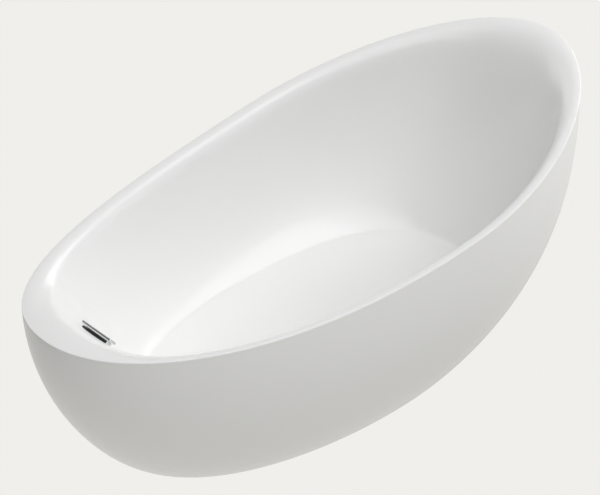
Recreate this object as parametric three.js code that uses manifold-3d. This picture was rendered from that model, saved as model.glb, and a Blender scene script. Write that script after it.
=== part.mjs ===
// A freestanding egg-shaped bathtub, in millimetres, +Z up.
// +X points to the high, wide head end. The origin is on the floor under the middle of the tub.
import * as THREE from 'three';
import { mergeVertices } from 'three/addons/utils/BufferGeometryUtils.js';
import Module from 'manifold-3d';

// Overall sizes
const LENGTH = 1900;
const WIDTH = 930;
const RIM_HEIGHT_HEAD = 790;
const RIM_HEIGHT_MIDDLE = 620;
const RIM_HEIGHT_FOOT = 630;
const FLOOR_HEIGHT = 165;

// Plan outlines: how far each egg's widest line lies from the middle, and how square its ends are
const RIM_CENTRE = 205;
const RIM_HEAD_POWER = 1.9;
const RIM_FOOT_POWER = 2.15;
const BASE_CENTRE = 70;
const BASE_POWER = 2.1;
const FLOOR_CENTRE = 60;
const FLOOR_HEAD_POWER = 2.4;
const FLOOR_FOOT_POWER = 2.1;

// How far the base and the basin floor are set in from the rim
const BASE_INSET = { head: 390, foot: 405, side: 185 };
const FLOOR_INSET = { head: 343, foot: 370, side: 152 };

// Shells
const LIP_INSET = { head: 60, side: 42, foot: 36 };
const LIP_THICKNESS = 6;
const LIP_UNDERSIDE = 18;
const ROLL_DEPTH = { head: 80, side: 50, foot: 40 };
const LIP_EDGE_RADIUS = 3;
const SHELL_THICKNESS = 7;
const PANEL_THICKNESS = 6;
const PANEL_FLANGE = 15;
const PANEL_FLOOR_GAP = 4;
const BOND_THICKNESS = 1.2;
const BOND_INSET = 1;
const TOUCH_GAP = 0.3;
const OVERCUT = 1;

// The outer skin's curve from base to rim: a higher lift turns upright sooner, a higher spread turns later
const BULGE_LIFT = { head: 2.9, side: 2.65, foot: 1.75 };
const BULGE_SPREAD = { head: 1, side: 1.05, foot: 1.65 };

// The basin wall's curve from floor to lip: two control points as shares of its run and of its rise
const FILLET_RUN = { head: 0.08, side: 0.93, foot: 0.2 };
const FILLET_RISE = { head: 0.03, side: 0.17, foot: 0.03 };
const SHOULDER_RUN = { head: 0.45, side: 0.97, foot: 0.36 };
const SHOULDER_RISE = { head: 0.6, side: 0.22, foot: 0.98 };

// Fineness of the shells and of round pieces
const AROUND = 64;
const WALL_STEPS = 8;
const PANEL_STEPS = 7;
const PANEL_STEP_POWER = 1.4;
const ROLL_STEPS = 5;
const ROLL_STEPS_OVER_LIP = 2;
const ROUND_SIDES = 20;
const SMALL_SIDES = 12;
const HEX_SIDES = 6;

// Floor board and steel cradle
const BOARD_THICKNESS = 12;
const BOARD_INSET = 45;
const BOARD_WASTE_GAP = 60;
const RAIL_WIDTH = 25;
const RAIL_HEIGHT = 30;
const RAIL_WALL = 2;
const RAIL_INSET = 110;
const RAIL_OVERHANG = 30;
const FEET_SHARE = { head: 0.67, foot: 0.65 };

// Levelling feet
const SPINDLE_RADIUS = 6;
const PAD_RADIUS = 24;
const PAD_BASE = 6;
const PAD_NECK_RADIUS = 11;
const PAD_HEIGHT = 16;
const PAD_SOCKET_FLOOR = 8;
const LOCK_NUT_RADIUS = 10.4;
const LOCK_NUT_HEIGHT = 7;
const SPINDLE_TOP_GAP = 6;

// Panel brackets
const BRACKET_WIDTH = 25;
const BRACKET_THICKNESS = 4;
const BRACKET_TAB = 28;
const BRACKET_PANEL_GAP = 4;
const BRACKET_HEAD_X = 250;
const BRACKET_FOOT_X = -190;
const SCREW_RADIUS = 3;
const SCREW_HEAD_RADIUS = 5.5;
const SCREW_HEAD_HEIGHT = 4;
const SCREW_CLEARANCE = 0.5;

// Waste and plug
const WASTE_FROM_FLOOR_END = 110;
const WASTE_SEAT_RADIUS = 46;
const WASTE_SEAT_DEPTH = 8;
const WASTE_RECESS_DEPTH = 4;
const WASTE_RECESS_RADIUS = 37;
const WASTE_HOLE_RADIUS = 26;
const GASKET_THICKNESS = 1.5;
const GASKET_INSET = 4;
const GASKET_CLEARANCE = 1;
const FLANGE_RADIUS = 35;
const FLANGE_THICKNESS = 2.6;
const FLANGE_TAPER = 1;
const THROAT_OUTER = 24.5;
const THROAT_INNER = 21;
const THROAT_LENGTH = 38;
const GUIDE_HUB_RADIUS = 8;
const GUIDE_HEIGHT = 8;
const GUIDE_ARM_WIDTH = 3;
const PLUG_RADIUS = 31;
const PLUG_THICKNESS = 5;
const PLUG_UNDERCUT = 2;
const PLUG_SHOULDER = 4;
const PLUG_CROWN = 1;
const PLUG_STEM_RADIUS = 4;
const PLUG_STEM_OVERHANG = 4;
const PLUG_SEAL_INNER = 14;
const PLUG_SEAL_HEIGHT = 3.5;
const RUNNING_GAP = 0.4;
const BODY_FLANGE_RADIUS = 42;
const BODY_FLANGE_THICKNESS = 5;
const BODY_RADIUS = 38;
const BODY_WALL = 3;
const BODY_DEPTH = 46;
const OUTLET_RADIUS = 23;
const OUTLET_LENGTH = 20;

// Trap
const TRAP_NUT_RADIUS = 31;
const TRAP_NUT_HEIGHT = 20;
const TRAP_NUT_CLEARANCE = 1;
const TRAP_FLOOR_GAP = 12;
const TRAP_RADIUS = 46;
const TRAP_WALL = 3;
const TRAP_TOP_GAP = 4;
const DIP_TUBE_RADIUS = 18;
const DIP_TUBE_FLOOR_GAP = 16;
const PIPE_RADIUS = 20;
const PIPE_WALL = 2.5;
const PIPE_NUT_RADIUS = 26;
const PIPE_NUT_LENGTH = 22;
const PIPE_SOCKET_LENGTH = 26;
const PIPE_LENGTH = 160;

// Overflow
const OVERFLOW_SHARE = 0.74;
const OVERFLOW_SEAT = { width: 136, height: 52, depth: 8 };
const BEZEL = { width: 100, height: 22, wall: 2.5, standOff: 9.5 };
const BEZEL_SLOT_WIDTH = 80;
const BEZEL_SLOT_DEPTH = 6;
const COVER = { width: 120, height: 30, thickness: 8.5, corner: 4 };
const HOUSING = { width: 124, height: 44, depth: 40, wall: 3 };
const OVERFLOW_SCREW_SPREAD = 56;
const HOSE_SPIGOT_RADIUS = 16;
const HOSE_SPIGOT_WALL = 2.5;
const HOSE_SPIGOT_LENGTH = 42;
const HOSE_WALL = 2.5;
const HOSE_OVERLAP = 24;
const HOSE_STEPS = 30;
const HOSE_BEND = { down: 0.6, forward: 0.75 };
const CLAMP_WIDTH = 9;
const CLAMP_THICKNESS = 1.5;
const CLAMP_GAP = 1;
const CLAMP_SCREW_BOX = { out: 7, half: 6, inset: 0.5 };

const wasm = await Module();
wasm.setup();

// Materials

function whiteAcrylic() {
  return new THREE.MeshStandardMaterial({ color: 0xf2f2f1, roughness: 0.38, metalness: 0 });
}

function polishedChrome() {
  return new THREE.MeshStandardMaterial({ color: 0xd9dbdd, roughness: 0.06, metalness: 1 });
}

function blackRubber() {
  return new THREE.MeshStandardMaterial({ color: 0x1d1d1e, roughness: 0.85, metalness: 0 });
}

function whitePlastic() {
  return new THREE.MeshStandardMaterial({ color: 0xe6e6e2, roughness: 0.55, metalness: 0 });
}

function greyPlastic() {
  return new THREE.MeshStandardMaterial({ color: 0x8b8f93, roughness: 0.6, metalness: 0 });
}

function zincSteel() {
  return new THREE.MeshStandardMaterial({ color: 0xb9bdc0, roughness: 0.35, metalness: 1 });
}

function turnedBrass() {
  return new THREE.MeshStandardMaterial({ color: 0xb8924f, roughness: 0.3, metalness: 1 });
}

function paintedSteel() {
  return new THREE.MeshStandardMaterial({ color: 0x3a3d40, roughness: 0.5, metalness: 0.2 });
}

function fibreBoard() {
  return new THREE.MeshStandardMaterial({ color: 0xb48e62, roughness: 0.9, metalness: 0 });
}

function adhesive() {
  return new THREE.MeshStandardMaterial({ color: 0xececea, roughness: 0.6, metalness: 0 });
}

// Solids: closed geometry in, joined or cut, and back to geometry

function solid(geometry) {
  const shape = geometry.clone();
  shape.deleteAttribute('normal');
  shape.deleteAttribute('uv');
  const merged = mergeVertices(shape, 1e-4);
  const vertProperties = merged.getAttribute('position').array;
  const triVerts = new Uint32Array(merged.index.array);
  return new wasm.Manifold(new wasm.Mesh({ numProp: 3, vertProperties, triVerts }));
}

function geometryOf(made) {
  const { vertProperties, triVerts } = made.getMesh();
  const geometry = new THREE.BufferGeometry();
  geometry.setAttribute('position', new THREE.BufferAttribute(new Float32Array(vertProperties), 3));
  geometry.setIndex(new THREE.BufferAttribute(new Uint32Array(triVerts), 1));
  geometry.computeVertexNormals();
  return geometry;
}

function joined(first, ...others) {
  return geometryOf(others.reduce((sum, other) => sum.add(solid(other)), solid(first)));
}

function cut(body, ...tools) {
  return geometryOf(tools.reduce((left, tool) => left.subtract(solid(tool)), solid(body)));
}

function piece(name, geometry, material) {
  const mesh = new THREE.Mesh(geometry, material);
  mesh.name = name;
  return mesh;
}

// Simple closed shapes, placed by their low and high ends

function block(x0, x1, y0, y1, z0, z1) {
  const box = new THREE.BoxGeometry(x1 - x0, y1 - y0, z1 - z0);
  return box.translate((x0 + x1) / 2, (y0 + y1) / 2, (z0 + z1) / 2);
}

function rod(radius, z0, z1, sides = ROUND_SIDES) {
  const cylinder = new THREE.CylinderGeometry(radius, radius, z1 - z0, sides);
  return cylinder.rotateX(Math.PI / 2).translate(0, 0, (z0 + z1) / 2);
}

function rodAlongX(radius, x0, x1, sides = ROUND_SIDES) {
  return rod(radius, x0, x1, sides).rotateY(Math.PI / 2);
}

// A turned piece from (radius, height) pairs that start and end on the axis or close on themselves
function turned(pairs, sides = ROUND_SIDES) {
  const profile = pairs.map(([radius, height]) => new THREE.Vector2(radius, height));
  return new THREE.LatheGeometry(profile, sides).rotateX(Math.PI / 2);
}

function ring(inner, outer, z0, z1, sides = ROUND_SIDES) {
  return turned([[inner, z0], [outer, z0], [outer, z1], [inner, z1], [inner, z0]], sides);
}

function ringAlongX(inner, outer, x0, x1, sides = ROUND_SIDES) {
  return ring(inner, outer, x0, x1, sides).rotateY(Math.PI / 2);
}

function roundedPlate(width, height, corner, depth) {
  const [w, h] = [width / 2, height / 2];
  const outline = new THREE.Shape();
  outline.moveTo(-w + corner, -h);
  outline.lineTo(w - corner, -h);
  outline.absarc(w - corner, -h + corner, corner, -Math.PI / 2, 0);
  outline.absarc(w - corner, h - corner, corner, 0, Math.PI / 2);
  outline.absarc(-w + corner, h - corner, corner, Math.PI / 2, Math.PI);
  outline.absarc(-w + corner, -h + corner, corner, Math.PI, Math.PI * 1.5);
  const plate = new THREE.ExtrudeGeometry(outline, { depth, bevelEnabled: false, curveSegments: 4 });
  // The outline's width runs along Y, its height along Z and the extrusion along X
  return plate.rotateY(Math.PI / 2).rotateX(Math.PI / 2);
}

// The egg outlines

function signedPower(value, power) {
  return Math.sign(value) * Math.abs(value) ** power;
}

function egg(inset, centre, headPower, footPower) {
  const head = LENGTH / 2 - inset.head - centre;
  const foot = LENGTH / 2 - inset.foot + centre;
  return { centre, head, foot, half: WIDTH / 2 - inset.side, headPower, footPower };
}

function evenInset(distance) {
  return { head: distance, foot: distance, side: distance };
}

const rimEgg = egg(evenInset(0), RIM_CENTRE, RIM_HEAD_POWER, RIM_FOOT_POWER);
const lipEgg = egg(LIP_INSET, RIM_CENTRE, RIM_HEAD_POWER, RIM_FOOT_POWER);
const baseEgg = egg(BASE_INSET, BASE_CENTRE, BASE_POWER, BASE_POWER);
const floorEgg = egg(FLOOR_INSET, FLOOR_CENTRE, FLOOR_HEAD_POWER, FLOOR_FOOT_POWER);

function eggPoint(outline, angle) {
  const [along, across] = [Math.cos(angle), Math.sin(angle)];
  const power = 2 / (along > 0 ? outline.headPower : outline.footPower);
  const reach = along > 0 ? outline.head : outline.foot;
  const x = outline.centre + reach * signedPower(along, power);
  return new THREE.Vector2(x, outline.half * signedPower(across, power));
}

function blend(angle, choice) {
  const along = Math.cos(angle);
  const end = along > 0 ? choice.head : choice.foot;
  return THREE.MathUtils.lerp(choice.side, end, along * along);
}

function rimHeight(x) {
  const share = x / (LENGTH / 2);
  const slope = (RIM_HEIGHT_HEAD - RIM_HEIGHT_FOOT) / 2;
  const swoop = (RIM_HEIGHT_HEAD + RIM_HEIGHT_FOOT) / 2 - RIM_HEIGHT_MIDDLE;
  return RIM_HEIGHT_MIDDLE + slope * share + swoop * share * share;
}

// A wall profile runs in an upright plane through an inner and an outer outline point:
// each profile point is (run, z), where run is the distance from the inner outline point
function uprightPlane(inner, outer) {
  const direction = outer.clone().sub(inner);
  const length = direction.length();
  direction.normalize();
  const at = (run, z) => new THREE.Vector3(inner.x + direction.x * run, inner.y + direction.y * run, z);
  return { length, at };
}

// Each point of a profile moved sideways by a distance, to the right of its direction of travel
function offsetProfile(points, distance) {
  return points.map((point, i) => {
    const before = points[Math.max(i - 1, 0)];
    const after = points[Math.min(i + 1, points.length - 1)];
    const travel = after.clone().sub(before).normalize();
    return new THREE.Vector2(point.x + travel.y * distance, point.y - travel.x * distance);
  });
}

// Basin

// The basin wall at one angle: its plane and its Bezier control points in that plane
function wallCurve(angle) {
  const plane = uprightPlane(eggPoint(floorEgg, angle), eggPoint(lipEgg, angle));
  const top = rimHeight(eggPoint(rimEgg, angle).x);
  const rise = top - FLOOR_HEIGHT;
  const control = (run, share) => new THREE.Vector2(run * plane.length, FLOOR_HEIGHT + share * rise);
  const curve = new THREE.CubicBezierCurve(
    control(0, 0),
    control(blend(angle, FILLET_RUN), blend(angle, FILLET_RISE)),
    control(blend(angle, SHOULDER_RUN), blend(angle, SHOULDER_RISE)),
    control(1, 1),
  );
  return { plane, top, curve };
}

// The basin wall stops short of its curve's end by the roll's depth
function wallPoints(angle, curve) {
  const end = 1 - blend(angle, ROLL_DEPTH) / (3 * curve.v3.distanceTo(curve.v2));
  return Array.from({ length: WALL_STEPS + 1 }, (_, i) => curve.getPoint((end * i) / WALL_STEPS));
}

// The upright plane across the lip, which the lip, the bond and the panel's flange share
function lipPlane(angle) {
  return uprightPlane(eggPoint(lipEgg, angle), eggPoint(rimEgg, angle));
}

// The lip's outer edge, from the end of its fillet down and in along its underside
function lipEdge(edgeRun, top) {
  const turn = THREE.MathUtils.degToRad(45);
  const round = new THREE.Vector2(Math.cos(turn), Math.sin(turn)).multiplyScalar(LIP_EDGE_RADIUS);
  const centre = new THREE.Vector2(edgeRun - LIP_EDGE_RADIUS, top - LIP_EDGE_RADIUS);
  const under = [edgeRun, edgeRun - LIP_UNDERSIDE];
  return [
    round.add(centre),
    new THREE.Vector2(edgeRun, top - LIP_EDGE_RADIUS),
    ...under.map((run) => new THREE.Vector2(run, top - LIP_THICKNESS)),
  ];
}

// The section bends where the wall's plane ends: from there on it follows the lip's plane
function basinColumn(angle) {
  const { plane, top, curve } = wallCurve(angle);
  const lip = lipPlane(angle);
  const edgeRun = plane.length + lip.length;
  const wall = wallPoints(angle, curve);
  const rollEnd = new THREE.Vector2(edgeRun - LIP_EDGE_RADIUS, top);
  const rollCurve = new THREE.QuadraticBezierCurve(wall.at(-1), curve.v3, rollEnd);
  const roll = rollCurve.getPoints(ROLL_STEPS).slice(1);
  const backed = [...wall, ...roll.slice(0, -ROLL_STEPS_OVER_LIP)];
  const back = offsetProfile(backed, SHELL_THICKNESS).reverse();
  back.at(-1).y = FLOOR_HEIGHT - SHELL_THICKNESS;
  return [...wall, ...roll, ...lipEdge(edgeRun, top), ...back].map(({ x: run, y: z }) =>
    run < plane.length ? plane.at(run, z) : lip.at(run - plane.length, z),
  );
}

// A surface between neighbouring columns of points; the faces turn outward
// when the columns go round counterclockwise and each goes up the inside and down the outside
function skin(columns, closesOnItself) {
  const rows = columns[0].length;
  const positions = columns.flatMap((column) => column.flatMap((point) => point.toArray()));
  const index = [];
  const vertex = (i, j) => (i % columns.length) * rows + (j % rows);
  const lastRow = closesOnItself ? rows : rows - 1;
  for (let i = 0; i < columns.length; i += 1) {
    for (let j = 0; j < lastRow; j += 1) {
      const [a, b] = [vertex(i, j), vertex(i + 1, j)];
      const [c, d] = [vertex(i + 1, j + 1), vertex(i, j + 1)];
      index.push(a, c, b, a, d, c);
    }
  }
  const geometry = new THREE.BufferGeometry();
  geometry.setAttribute('position', new THREE.Float32BufferAttribute(positions, 3));
  geometry.setIndex(index);
  return geometry;
}

function anglesAround() {
  return Array.from({ length: AROUND }, (_, i) => (2 * Math.PI * i) / AROUND);
}

const wasteX = -(LENGTH / 2 - FLOOR_INSET.foot) + WASTE_FROM_FLOOR_END;
const shellUnderside = FLOOR_HEIGHT - SHELL_THICKNESS;
const recessFloor = FLOOR_HEIGHT - WASTE_RECESS_DEPTH;
const seatBottom = shellUnderside - WASTE_SEAT_DEPTH;

function overflowPlace() {
  const { plane, curve } = wallCurve(Math.PI);
  const point = curve.getPoint(OVERFLOW_SHARE);
  const travel = curve.getTangent(OVERFLOW_SHARE);
  return { at: plane.at(point.x, point.y), tilt: Math.atan2(travel.x, travel.y) };
}

const overflow = overflowPlace();

// Moves a shape from the overflow's own frame, where +X points into the basin and +Z up the wall
function toOverflow(geometry) {
  return geometry.rotateY(-overflow.tilt).translate(overflow.at.x, overflow.at.y, overflow.at.z);
}

function overflowSlot() {
  const [w, h] = [BEZEL.width / 2 + RUNNING_GAP, BEZEL.height / 2 + RUNNING_GAP];
  return toOverflow(block(-OVERFLOW_SEAT.depth * 3, OVERFLOW_SEAT.depth * 3, -w, w, -h, h));
}

function overflowSeat() {
  const [w, h] = [OVERFLOW_SEAT.width / 2, OVERFLOW_SEAT.height / 2];
  const back = -SHELL_THICKNESS - OVERFLOW_SEAT.depth;
  return toOverflow(block(back, -SHELL_THICKNESS / 2, -w, w, -h, h));
}

function tubShell() {
  const floorMiddle = new THREE.Vector3(floorEgg.centre, 0, FLOOR_HEIGHT);
  const floorUnder = new THREE.Vector3(floorEgg.centre, 0, shellUnderside);
  const columns = anglesAround().map((angle) => [floorMiddle, ...basinColumn(angle), floorUnder]);
  const wasteSeat = rod(WASTE_SEAT_RADIUS, seatBottom, FLOOR_HEIGHT - OVERCUT).translate(wasteX, 0, 0);
  const recess = rod(WASTE_RECESS_RADIUS, recessFloor, FLOOR_HEIGHT + OVERCUT).translate(wasteX, 0, 0);
  const hole = rod(WASTE_HOLE_RADIUS, seatBottom - OVERCUT, FLOOR_HEIGHT).translate(wasteX, 0, 0);
  const body = joined(skin(columns, false), wasteSeat, overflowSeat());
  return piece('tub_shell', cut(body, recess, hole, overflowSlot()), whiteAcrylic());
}

// Outer panel

function bodyProfile(angle, base, top) {
  const lift = blend(angle, BULGE_LIFT);
  const spread = blend(angle, BULGE_SPREAD);
  return (share) => {
    const reach = (1 - (1 - share) ** lift) ** (1 / spread);
    return new THREE.Vector2(reach * base, share * top);
  };
}

const flangeTopDrop = LIP_THICKNESS + 2 * TOUCH_GAP + BOND_THICKNESS;

function panelColumn(angle) {
  const plane = uprightPlane(eggPoint(baseEgg, angle), eggPoint(rimEgg, angle));
  const top = rimHeight(eggPoint(rimEgg, angle).x);
  const profile = bodyProfile(angle, plane.length, top);
  const first = PANEL_FLOOR_GAP / top;
  const last = 1 - flangeTopDrop / top;
  const shares = Array.from({ length: PANEL_STEPS + 1 }, (_, i) => {
    return THREE.MathUtils.lerp(first, last, (i / PANEL_STEPS) ** PANEL_STEP_POWER);
  });
  const outer = shares.map(profile);
  const inner = offsetProfile(outer, -PANEL_THICKNESS);
  inner[0].y = PANEL_FLOOR_GAP;
  const flangeUnder = outer.at(-1).y - PANEL_THICKNESS;
  inner.at(-1).y = flangeUnder;
  const lip = lipPlane(angle);
  const flangeEnd = lip.length - PANEL_FLANGE;
  const flange = [lip.at(flangeEnd, flangeUnder), lip.at(flangeEnd, outer.at(-1).y)];
  const inPlane = (point) => plane.at(point.x, point.y);
  return [...inner.map(inPlane), ...flange, ...outer.reverse().map(inPlane)];
}

function outerPanel() {
  return piece('outer_panel', skin(anglesAround().map(panelColumn), true), whiteAcrylic());
}

function bondColumn(angle) {
  const plane = lipPlane(angle);
  const top = rimHeight(eggPoint(rimEgg, angle).x) - LIP_THICKNESS - TOUCH_GAP;
  const bottom = top - BOND_THICKNESS;
  const inside = plane.length - PANEL_FLANGE + BOND_INSET;
  const outside = plane.length - BOND_INSET;
  const corners = [[inside, bottom], [inside, top], [outside, top], [outside, bottom]];
  return corners.map(([run, z]) => plane.at(run, z));
}

function rimBond() {
  return piece('rim_bond', skin(anglesAround().map(bondColumn), true), adhesive());
}

// Floor board and cradle

const boardTop = shellUnderside - TOUCH_GAP;
const boardUnder = boardTop - BOARD_THICKNESS;
const railTop = boardUnder - TOUCH_GAP;
const railUnder = railTop - RAIL_HEIGHT;
const railY = baseEgg.half - RAIL_INSET;
// The end rows stand at a share of the base's reach to either side of its widest line
const feetHeadX = baseEgg.centre + baseEgg.head * FEET_SHARE.head;
const feetFootX = baseEgg.centre - baseEgg.foot * FEET_SHARE.foot;
const feetRows = { foot: feetFootX, middle: (feetHeadX + feetFootX) / 2, head: feetHeadX };
const sides = { left: railY, right: -railY };
const bracketRows = { head: BRACKET_HEAD_X, foot: BRACKET_FOOT_X };

function floorBoard() {
  const inset = {
    head: FLOOR_INSET.head + BOARD_INSET,
    foot: FLOOR_INSET.foot + BOARD_INSET,
    side: FLOOR_INSET.side + BOARD_INSET,
  };
  const outline = egg(inset, FLOOR_CENTRE, FLOOR_HEAD_POWER, FLOOR_FOOT_POWER);
  const shape = new THREE.Shape(Array.from({ length: AROUND / 2 }, (_, i) => {
    return eggPoint(outline, (4 * Math.PI * i) / AROUND);
  }));
  const board = new THREE.ExtrudeGeometry(shape, { depth: BOARD_THICKNESS, bevelEnabled: false });
  const footCut = block(-LENGTH, wasteX + BOARD_WASTE_GAP, -WIDTH, WIDTH, 0, FLOOR_HEIGHT);
  return piece('floor_board', cut(board.translate(0, 0, boardUnder), footCut), fibreBoard());
}

function hollowTube(x0, x1, y0, y1, alongX) {
  const wall = RAIL_WALL;
  const outside = block(x0, x1, y0, y1, railUnder, railTop);
  const inside = alongX
    ? block(x0 - OVERCUT, x1 + OVERCUT, y0 + wall, y1 - wall, railUnder + wall, railTop - wall)
    : block(x0 + wall, x1 - wall, y0 - OVERCUT, y1 + OVERCUT, railUnder + wall, railTop - wall);
  return cut(outside, inside);
}

function rail(side) {
  const y = sides[side];
  const ends = [feetFootX - RAIL_OVERHANG, feetHeadX + RAIL_OVERHANG];
  const tube = hollowTube(...ends, y - RAIL_WIDTH / 2, y + RAIL_WIDTH / 2, true);
  const spindleHoles = Object.values(feetRows).map((x) => {
    const hole = rod(SPINDLE_RADIUS + RUNNING_GAP, railUnder - OVERCUT, railTop + OVERCUT, SMALL_SIDES);
    return hole.translate(x, y, 0);
  });
  const screwHoles = Object.values(bracketRows).map((x) => {
    const top = railUnder + RAIL_WALL + OVERCUT;
    const hole = rod(SCREW_RADIUS + SCREW_CLEARANCE, railUnder - OVERCUT, top, SMALL_SIDES);
    return hole.translate(x, y, 0);
  });
  return piece(`rail_${side}`, cut(tube, ...spindleHoles, ...screwHoles), paintedSteel());
}

function crossTube(row) {
  const x = feetRows[row];
  const reach = railY - RAIL_WIDTH / 2 - TOUCH_GAP;
  const tube = hollowTube(x - RAIL_WIDTH / 2, x + RAIL_WIDTH / 2, -reach, reach, false);
  return piece(`cross_tube_${row}`, tube, paintedSteel());
}

function footPad() {
  const socket = SPINDLE_RADIUS + TOUCH_GAP;
  return turned([
    [0, 0],
    [PAD_RADIUS, 0],
    [PAD_RADIUS, PAD_BASE],
    [PAD_NECK_RADIUS, PAD_HEIGHT],
    [socket, PAD_HEIGHT],
    [socket, PAD_SOCKET_FLOOR],
    [0, PAD_SOCKET_FLOOR],
  ], SMALL_SIDES);
}

function spindle() {
  return rod(SPINDLE_RADIUS, PAD_SOCKET_FLOOR + TOUCH_GAP, railTop - SPINDLE_TOP_GAP, SMALL_SIDES);
}

function lockNut() {
  const top = railUnder - TOUCH_GAP;
  const nut = rod(LOCK_NUT_RADIUS, top - LOCK_NUT_HEIGHT, top, HEX_SIDES);
  const threadBottom = top - LOCK_NUT_HEIGHT - OVERCUT;
  const thread = rod(SPINDLE_RADIUS + RUNNING_GAP, threadBottom, top + OVERCUT, SMALL_SIDES);
  return cut(nut, thread);
}

function foot(row, side) {
  const set = new THREE.Group();
  set.position.set(feetRows[row], sides[side], 0);
  set.add(piece(`foot_pad_${row}_${side}`, footPad(), blackRubber()));
  set.add(piece(`foot_spindle_${row}_${side}`, spindle(), zincSteel()));
  set.add(piece(`foot_lock_nut_${row}_${side}`, lockNut(), zincSteel()));
  return set;
}

// Where the panel's inner face stands off the middle plane, at a given place along it and height
function panelInnerY(x, z) {
  const outerAt = (angle) => {
    const [base, rim] = [eggPoint(baseEgg, angle), eggPoint(rimEgg, angle)];
    const top = rimHeight(rim.x);
    return base.lerp(rim, bodyProfile(angle, 1, top)(z / top).x);
  };
  let [low, high] = [0, Math.PI];
  for (let i = 0; i < 40; i += 1) {
    const middle = (low + high) / 2;
    if (outerAt(middle).x > x) low = middle;
    else high = middle;
  }
  return outerAt(low).y - PANEL_THICKNESS;
}

function bracket(row, side) {
  const x = bracketRows[row];
  const top = railUnder - TOUCH_GAP;
  const under = top - BRACKET_THICKNESS;
  const [x0, x1] = [x - BRACKET_WIDTH / 2, x + BRACKET_WIDTH / 2];
  const narrowEnd = Math.min(panelInnerY(x0, under), panelInnerY(x1, under));
  const reach = narrowEnd - BRACKET_PANEL_GAP - PANEL_THICKNESS / 2;
  const arm = block(x0, x1, railY - RAIL_WIDTH / 2, reach, under, top);
  const tab = block(x0, x1, reach - BRACKET_THICKNESS, reach, under, top + BRACKET_TAB);
  const hole = rod(SCREW_RADIUS + SCREW_CLEARANCE, under - OVERCUT, top + OVERCUT, SMALL_SIDES);
  const shape = cut(joined(arm, tab), hole.translate(x, railY, 0));
  const mesh = piece(`panel_bracket_${row}_${side}`, shape, zincSteel());
  mesh.rotation.z = side === 'left' ? 0 : Math.PI;
  if (side === 'right') mesh.position.x = 2 * x;
  return mesh;
}

function bracketScrew(row, side) {
  const under = railUnder - BRACKET_THICKNESS - 2 * TOUCH_GAP;
  const head = rod(SCREW_HEAD_RADIUS, under - SCREW_HEAD_HEIGHT, under, HEX_SIDES);
  const shank = rod(SCREW_RADIUS, under - OVERCUT, railUnder + RAIL_WALL + SCREW_HEAD_HEIGHT, SMALL_SIDES);
  const mesh = piece(`bracket_screw_${row}_${side}`, joined(head, shank), zincSteel());
  mesh.position.set(bracketRows[row], sides[side], 0);
  return mesh;
}

// Waste, from the top down, about its own axis

const flangeUnder = recessFloor + GASKET_THICKNESS + 2 * TOUCH_GAP;
const flangeTop = flangeUnder + FLANGE_THICKNESS;
const throatBottom = flangeUnder - THROAT_LENGTH;
const bodyTop = seatBottom - GASKET_THICKNESS - 2 * TOUCH_GAP;
const bodyBottom = bodyTop - BODY_DEPTH;
const outletBottom = bodyBottom - OUTLET_LENGTH;
const hoseInletZ = bodyBottom + HOSE_SPIGOT_RADIUS + BODY_WALL;

function wasteFlange() {
  const rim = turned([
    [THROAT_INNER, throatBottom],
    [THROAT_OUTER, throatBottom],
    [THROAT_OUTER, flangeUnder],
    [FLANGE_RADIUS, flangeUnder],
    [FLANGE_RADIUS - FLANGE_TAPER, flangeTop],
    [THROAT_INNER, flangeTop],
    [THROAT_INNER, throatBottom],
  ]);
  const guideTop = throatBottom + GUIDE_HEIGHT;
  const stemHole = PLUG_STEM_RADIUS + RUNNING_GAP;
  const hub = ring(stemHole, GUIDE_HUB_RADIUS, throatBottom, guideTop, SMALL_SIDES);
  const armHalf = GUIDE_ARM_WIDTH / 2;
  const arms = [60, 180, 300].map((degrees) => {
    const [start, end] = [GUIDE_HUB_RADIUS - OVERCUT, THROAT_INNER + OVERCUT];
    const arm = block(start, end, -armHalf, armHalf, throatBottom, guideTop);
    return arm.rotateZ(THREE.MathUtils.degToRad(degrees));
  });
  return piece('waste_flange', joined(rim, hub, ...arms), polishedChrome());
}

function upperGasket() {
  const z = recessFloor + TOUCH_GAP;
  const gasket = ring(WASTE_HOLE_RADIUS, FLANGE_RADIUS, z, z + GASKET_THICKNESS);
  return piece('waste_gasket_upper', gasket, blackRubber());
}

function lowerGasket() {
  const z = seatBottom - TOUCH_GAP;
  const gasket = ring(WASTE_HOLE_RADIUS, BODY_FLANGE_RADIUS, z - GASKET_THICKNESS, z);
  return piece('waste_gasket_lower', gasket, blackRubber());
}

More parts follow.
